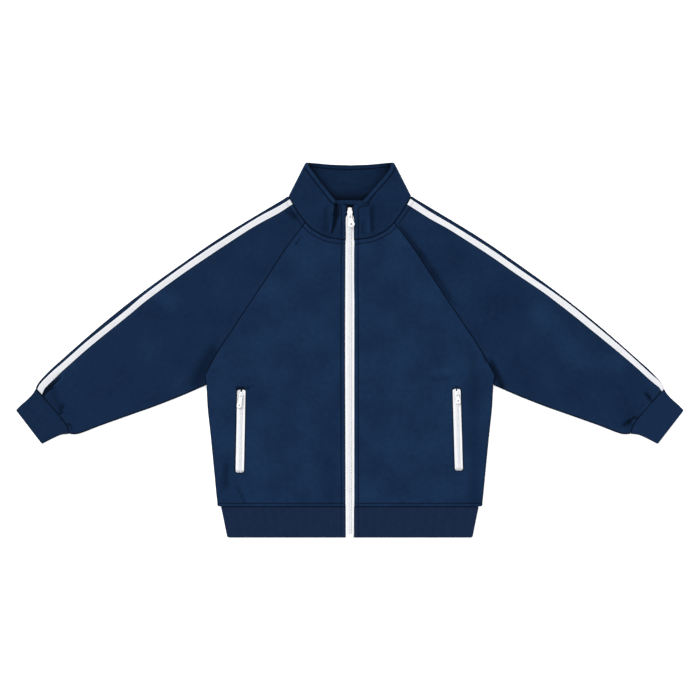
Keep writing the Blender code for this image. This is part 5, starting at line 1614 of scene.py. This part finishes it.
def makeSlider(name, run, size, node):
    tape, low, top, axis = sliderHeights(run, size)
    wide, long = size["width"], size["length"]
    sides = [(0.18, 0.008), (0.30, 0.05), (0.42, 0.14), (0.58, 0.26), (0.80, 0.38), (0.90, 0.48), (0.86, 0.6),
             (0.77, 0.74), (0.76, 0.9), (0.64, 0.985), (0.4, 1)]
    outline = roundedLoop([(0, 0), *((wide * across, long * down) for across, down in sides), (0, long)])
    bottom = [-zips["tape"] - zips["gap"] - zips["lowerPlate"], -zips["tape"] - zips["gap"]]
    inside = zips["bridgeClear"] + zips["bridgePlay"]
    outside = inside + size["foot"]
    barLow, barTop = axis + zips["bridgeClear"], axis + zips["bridgeClear"] + zips["bridgeBar"]
    foot = top - 0.15
    # the bridge is an arch seen from the side, with rounded shoulders
    over = [(outside + 0.5, foot), (outside + 0.1, foot + 1.2), (outside - 0.25, barTop - 0.6),
            (outside - 0.9, barTop)]
    under = [(inside, foot), (inside, barLow - 0.4), (inside - 0.4, barLow)]
    arch = np.vstack([over * flip, over[::-1], under, under[::-1] * flip]) + (size["axis"], 0)
    points, faces = block(arch, -zips["bridgeHalf"], zips["bridgeHalf"])
    flangeIn = size["chain"] + zips["gap"]
    flangeOut = min(flangeIn + zips["flange"], wide * 0.84)
    ends = 0.38 * long, 0.6 * long
    blocks = [block(outline * (0.9, 0.93) + (0, 0.03 * long), *bottom),
              block(rectangle(-0.5, 0.5, *size["post"]), bottom[0] + 0.15, low + 0.15),
              block(rectangle(flangeIn, flangeOut, *ends), 0.6, low + 0.15),
              block(rectangle(-flangeOut, -flangeIn, *ends), 0.6, low + 0.15),
              (points[:, [2, 0, 1]], faces)]
    return carved(name, run, block(outline, low, top), "UNION", blocks, (size["start"], tape), node)


def makePull(name, run, size, node, body, tilt):
    # a flat tab with a window for the bridge and a round hole near its rounded end
    tape, *heights, axis = sliderHeights(run, size)
    half = zips["pullThick"] / 2
    far = size["pullLength"] - half
    eye, wide, window = size["eye"], size["pullWidth"], size["window"]
    holeAt = far - zips["holeFromEnd"]
    outline = roundedLoop([(0, -half), (eye * 0.75, -half + 0.04), (eye, 0.35), (eye, window),
                           (eye + 0.15, window + 1.2), (wide * 0.86, holeAt - 2.6), (wide, holeAt - 0.4),
                           (wide * 0.93, holeAt + 1.5), (wide * 0.62, far - 0.55), (0, far)])
    # a shallow sunk field on the face leaves a rim round the edge and round the hole
    field = roundedLoop([(0, window + 1.3), (eye * 0.7, window + 1.6), (wide * 0.62, holeAt - 2.9),
                         (wide * 0.3, holeAt - 2.2), (0, holeAt - 2.0)], 5)
    cuts = [block(oval((0, (half + window) / 2), zips["bridgeHalf"] + 0.6, (window - half) / 2, 4.0), -2, 2),
            block(oval((0, holeAt), size["hole"], size["hole"], 2.0), -2, 2), block(field, half - 0.22, 2)]
    return carved(name, run, block(outline, -half, half), "DIFFERENCE", cuts,
                  (size["start"] + size["axis"], tape + axis, math.radians(tilt)), node, body)


def makeFrontZip():
    size = zips["front"]
    narrow = jacket["zipOpening"] - 0.4
    top = jacket["zipTop"]
    neck, hemAt = top - jacket["neckLevel"], top - jacket["hemSeam"]
    rows = [(s, toward(narrow, size["topEdge"], ease(198.5, 205.5, top - s)))
            for s in np.linspace(2.6, neck + 0.5, 60)]
    rows += [(s, size["reach"]) for s in np.linspace(neck + 1.0, hemAt - 1.0, 110)]
    rows += [(s, narrow) for s in np.linspace(hemAt - 0.5, frontRun.length, 18)]
    tapes = [makeZipTape("zipTape" + word.title(), frontRun, side, size, rows, "zip_tape_" + word)
             for side, word in words.items()]
    makeTeeth("frontTeeth", frontRun, size, size["start"] + size["post"][1] + 0.6, zips["boxStart"] - 0.8,
              "zip_chain")
    makeSlider("frontSlider", frontRun, size, "zip_slider")
    makePull("frontPull", frontRun, size, "zip_pull", "front_pull", -9.0)
    # the box that holds the two ends together at the hem, with a slit down it and a groove across
    box = roundedLoop([(0, 0), (3.7, 0.02), (4.4, 0.5), (4.5, 2.7), (4.4, 4.9), (3.7, 5.45), (0, 5.5)], 5)
    cuts = [block(rectangle(-0.25, 0.25, -1, 7), 1.75, 4), block(rectangle(-6, 6, 1.5, 2.1), 1.9, 4)]
    carved("zipBox", frontRun, block(box, 0, 2.2), "DIFFERENCE", cuts, (zips["boxStart"], zips["boxLevel"]),
           "zip_box", finish="plastic", soften=0.3)
    return tapes


def makePocketZip(side):
    size = {**zips["pocket"], **zips[side]}
    run, name = pocketRuns[side], words[side]
    rows = [(s, size["reach"]) for s in np.linspace(-4, run.length + 4, 46)]
    tapes = [makeZipTape(f"{name}PocketTape{word}", run, way, size, rows,
                         f"pocket_{name}_tape_{word.lower()}", size["smudges"] if way < 0 else ())
             for way, word in ((1, "A"), (-1, "B"))]
    makeTeeth(name + "PocketTeeth", run, size, size["start"] + size["post"][1] + 0.5, run.length - 2.3,
              f"pocket_{name}_chain")
    makeSlider(name + "PocketSlider", run, size, f"pocket_{name}_slider")
    makePull(name + "PocketPull", run, size, f"pocket_{name}_pull", name + "_pocket_pull", size["tilt"])
    return tapes


zipTapes = makeFrontZip()
pocketTapes = makePocketZip(left) + makePocketZip(right)
print("zips: tapes, teeth, sliders and pulls made")


# Topstitching: rows of short threads laid in the grooves

threads = {
    # length, spacing and half thickness of a stitch, and how deep it sits in the cloth
    "navy": {"length": 1.9, "pitch": 2.6, "radius": 0.21, "sink": 0.05},
    "white": {"length": 1.7, "pitch": 2.3, "radius": 0.16, "sink": 0.04},
    "step": 1.3,
    "backReach": 55.0,       # how far the stitching shows inside the back of the collar
    "tackWidth": 4.6,
}


def faceFinder(*pieces):
    # reads the height of the topmost face over a point
    trees = []
    for piece in pieces:
        places = [vertex.co for vertex in piece.data.vertices]
        trees.append(BVHTree.FromPolygons(places, [tuple(face.vertices) for face in piece.data.polygons]))

    def heights(xy):
        found = []
        for x, y in xy * mm:
            hits = [tree.ray_cast((x, y, 0.1), (0, 0, -1))[0] for tree in trees]
            tops = [hit.z for hit in hits if hit is not None]
            found.append(max(tops) / mm if tops else np.nan)
        return np.array(found)
    return heights


def laidThread(xy, heights, facts):
    # a path on the cloth, without the parts where nothing lies under it
    z = heights(xy)
    z = np.where(np.isnan(z), np.nanmedian(z), z) + facts["radius"] - facts["sink"]
    return np.column_stack([xy, np.convolve(np.pad(z, 1, "edge"), [0.25, 0.5, 0.25], "valid")])


def stitchRow(name, paths, kind):
    facts = threads[kind]
    half = facts["length"] / 2
    return rowAlong(name, None, paths, kind + "Thread", facts["pitch"], (0, -half, 0), (0, half, 0),
                    facts["radius"], 5, 0.08, 7)


def stepped(curve, start=0.0, end=None):
    end = curve.length if end is None else end
    return curve.at(np.linspace(start, end, max(int(abs(end - start) / threads["step"]), 3)))


def navyPaths():
    paths = []
    heights = faceFinder(*fronts.values(), *sleeves.values(), hemRib, neckCollar)
    stitch = jacket["zipStitch"]
    above = jacket["hemSeam"] + jacket["hemStitch"]
    beside = SmoothLine([(stitch, -279.0), (stitch, 161.5)], 0)
    ring = line["neck"].beside(-jacket["neckStitch"])
    low = SmoothLine([(stitch + 1.5, above), (194.0, above)], 0)
    for side in (left, right):
        rim = collarStitch(side)
        for curve in (stepped(beside), stepped(rim, 0, rim.length - 6),
                      stepped(ring, 6.4, ring.length - 14.5), stepped(low)):
            paths.append(laidThread(curve * np.array([side, 1]), heights, threads["navy"]))
    return paths


def backPath():
    # inside the back of the collar, between the two rims
    top = SmoothLine(outlines["collarBackTop"])
    reach = threads["backReach"]
    half = top.at(np.linspace(0, reach, int(reach / threads["step"])))
    half = half - np.array([0, collar["backStitch"] - 0.3])
    whole = np.vstack([half[::-1] * flip, half[1:]])
    return [laidThread(whole, faceFinder(neckCollar), threads["navy"])]


def tapePaths(side):
    # both edges of a sleeve tape and the bar across its end at the neck
    share = np.linspace(0.004, 0.996, 360)
    white = threads["white"]
    on = stripe["lift"] + stripe["thickness"] - stripe["grooveDepth"] + white["radius"] - white["sink"]
    edge, wide = stripe["edgeStitch"], stripe["width"]
    rows = [stripeFace(side, share[:, None], np.full((1, 1), across), on)[:, 0]
            for across in (edge, wide - edge)]
    bar = stripe["barStitch"] / line["sleeveTop"].length
    rows.append(stripeFace(side, np.full((1, 12), bar), np.linspace(edge, wide - edge, 12), on)[0])
    return [onSide(row, side) for row in rows]


stitches = [stitchRow("navyStitches", navyPaths() + backPath(), "navy")]
stitches += [stitchRow(word + "TapeStitches", tapePaths(side), "white") for side, word in words.items()]
for side, word in words.items():
    # a bar tack closes each pocket zip at its bottom
    run, reach = pocketRuns[side], threads["tackWidth"]
    across = run.place(np.linspace(-reach, reach, 24), run.length - 2.6, 1.1)
    rowAlong(word + "PocketTack", None, [across], "whiteThread", 0.5, (-0.9, 0, 0), (0.9, 0, 0), 0.24, 4,
             0.1, 5)
print("stitches:", sum(len(piece.data.polygons) for piece in stitches))


# Flat areas of the sleeve and the cuff, worked out and not kept


def declareCloth():
    sideUp = line["side"].reversed()
    tube = areaOf(line["sleeveTop"], line["cuffSeam"], line["sleeveBottom"].reversed(),
                  line["sleeveHeadFront"].reversed())
    cuffEnd = SmoothLine([corners["cuffEndBottom"], corners["cuffEndTop"]], 0)
    cuffArea = 2 * areaOf(line["cuffSeam"], line["cuffSideBottom"], cuffEnd, line["cuffSideTop"].reversed())


declareCloth()


# Floor, light and camera

studio = {
    "floorDrop": 0.3, "floorReach": 6000.0, "floorColour": (0.86, 0.86, 0.865), "floorGlow": 0.5,
    "sky": 0.78,
    # broad soft lamps far off: where each shines from, its width in degrees and its strength
    "lamps": {"windowLamp": ((-0.62, 0.8, 1.05), 28, 2.1), "fillLamp": ((0.6, -0.5, 1.5), 60, 0.4)},
    "cameraHeight": 3.0, "cameraX": 0.00024, "cameraY": 0.001125, "sensor": 36.0, "frameWidth": 1.05,
}


def makeFloor():
    reach, low = studio["floorReach"], -studio["floorDrop"]
    finish, bench = finishBench("paleFloor")
    cloud = cloudiness(bench, objectPlace(bench), 400.0, 2.0)
    colour = studio["floorColour"]
    face = bench.blend(cloud * 0.5, colour, tuple(c * 0.98 for c in colour))
    shadeFinish(bench, face, 0.9, None, Specular_IOR_Level=0.1, Emission_Color=(1, 1, 1, 1),
                Emission_Strength=studio["floorGlow"])
    corner = [(-reach, -reach, low), (reach, -reach, low), (reach, reach, low), (-reach, reach, low)]
    floor = paintedMesh("floor", corner, [(0, 1, 2, 3)], finish)


def makeLamp(name, towards, degrees, strength):
    lamp = bpy.data.lights.new(name, "SUN")
    lamp.angle = math.radians(degrees)
    lamp.energy = strength
    made = bpy.data.objects.new(name, lamp)
    made.location = towards
    aim = -np.array(towards)
    made.rotation_euler = (math.acos(-aim[2] / np.linalg.norm(aim)), 0, math.atan2(-aim[0], aim[1]))
    bpy.context.scene.collection.objects.link(made)


makeFloor()
for name, facts in studio["lamps"].items():
    makeLamp(name, *facts)
world = bpy.data.worlds.new("studio")
world.use_nodes = True
world.node_tree.nodes["Background"].inputs["Color"].default_value = (1, 1, 1, 1)
world.node_tree.nodes["Background"].inputs["Strength"].default_value = studio["sky"]
bpy.context.scene.world = world
bpy.context.scene.view_settings.view_transform = "Standard"

cameraData = bpy.data.cameras.new("overhead")
cameraData.sensor_width = studio["sensor"]
cameraData.lens = studio["sensor"] * studio["cameraHeight"] / studio["frameWidth"]
camera = bpy.data.objects.new("overhead", cameraData)
camera.location = (studio["cameraX"], studio["cameraY"], studio["cameraHeight"])
bpy.context.scene.collection.objects.link(camera)
bpy.context.scene.camera = camera
print("stage set")
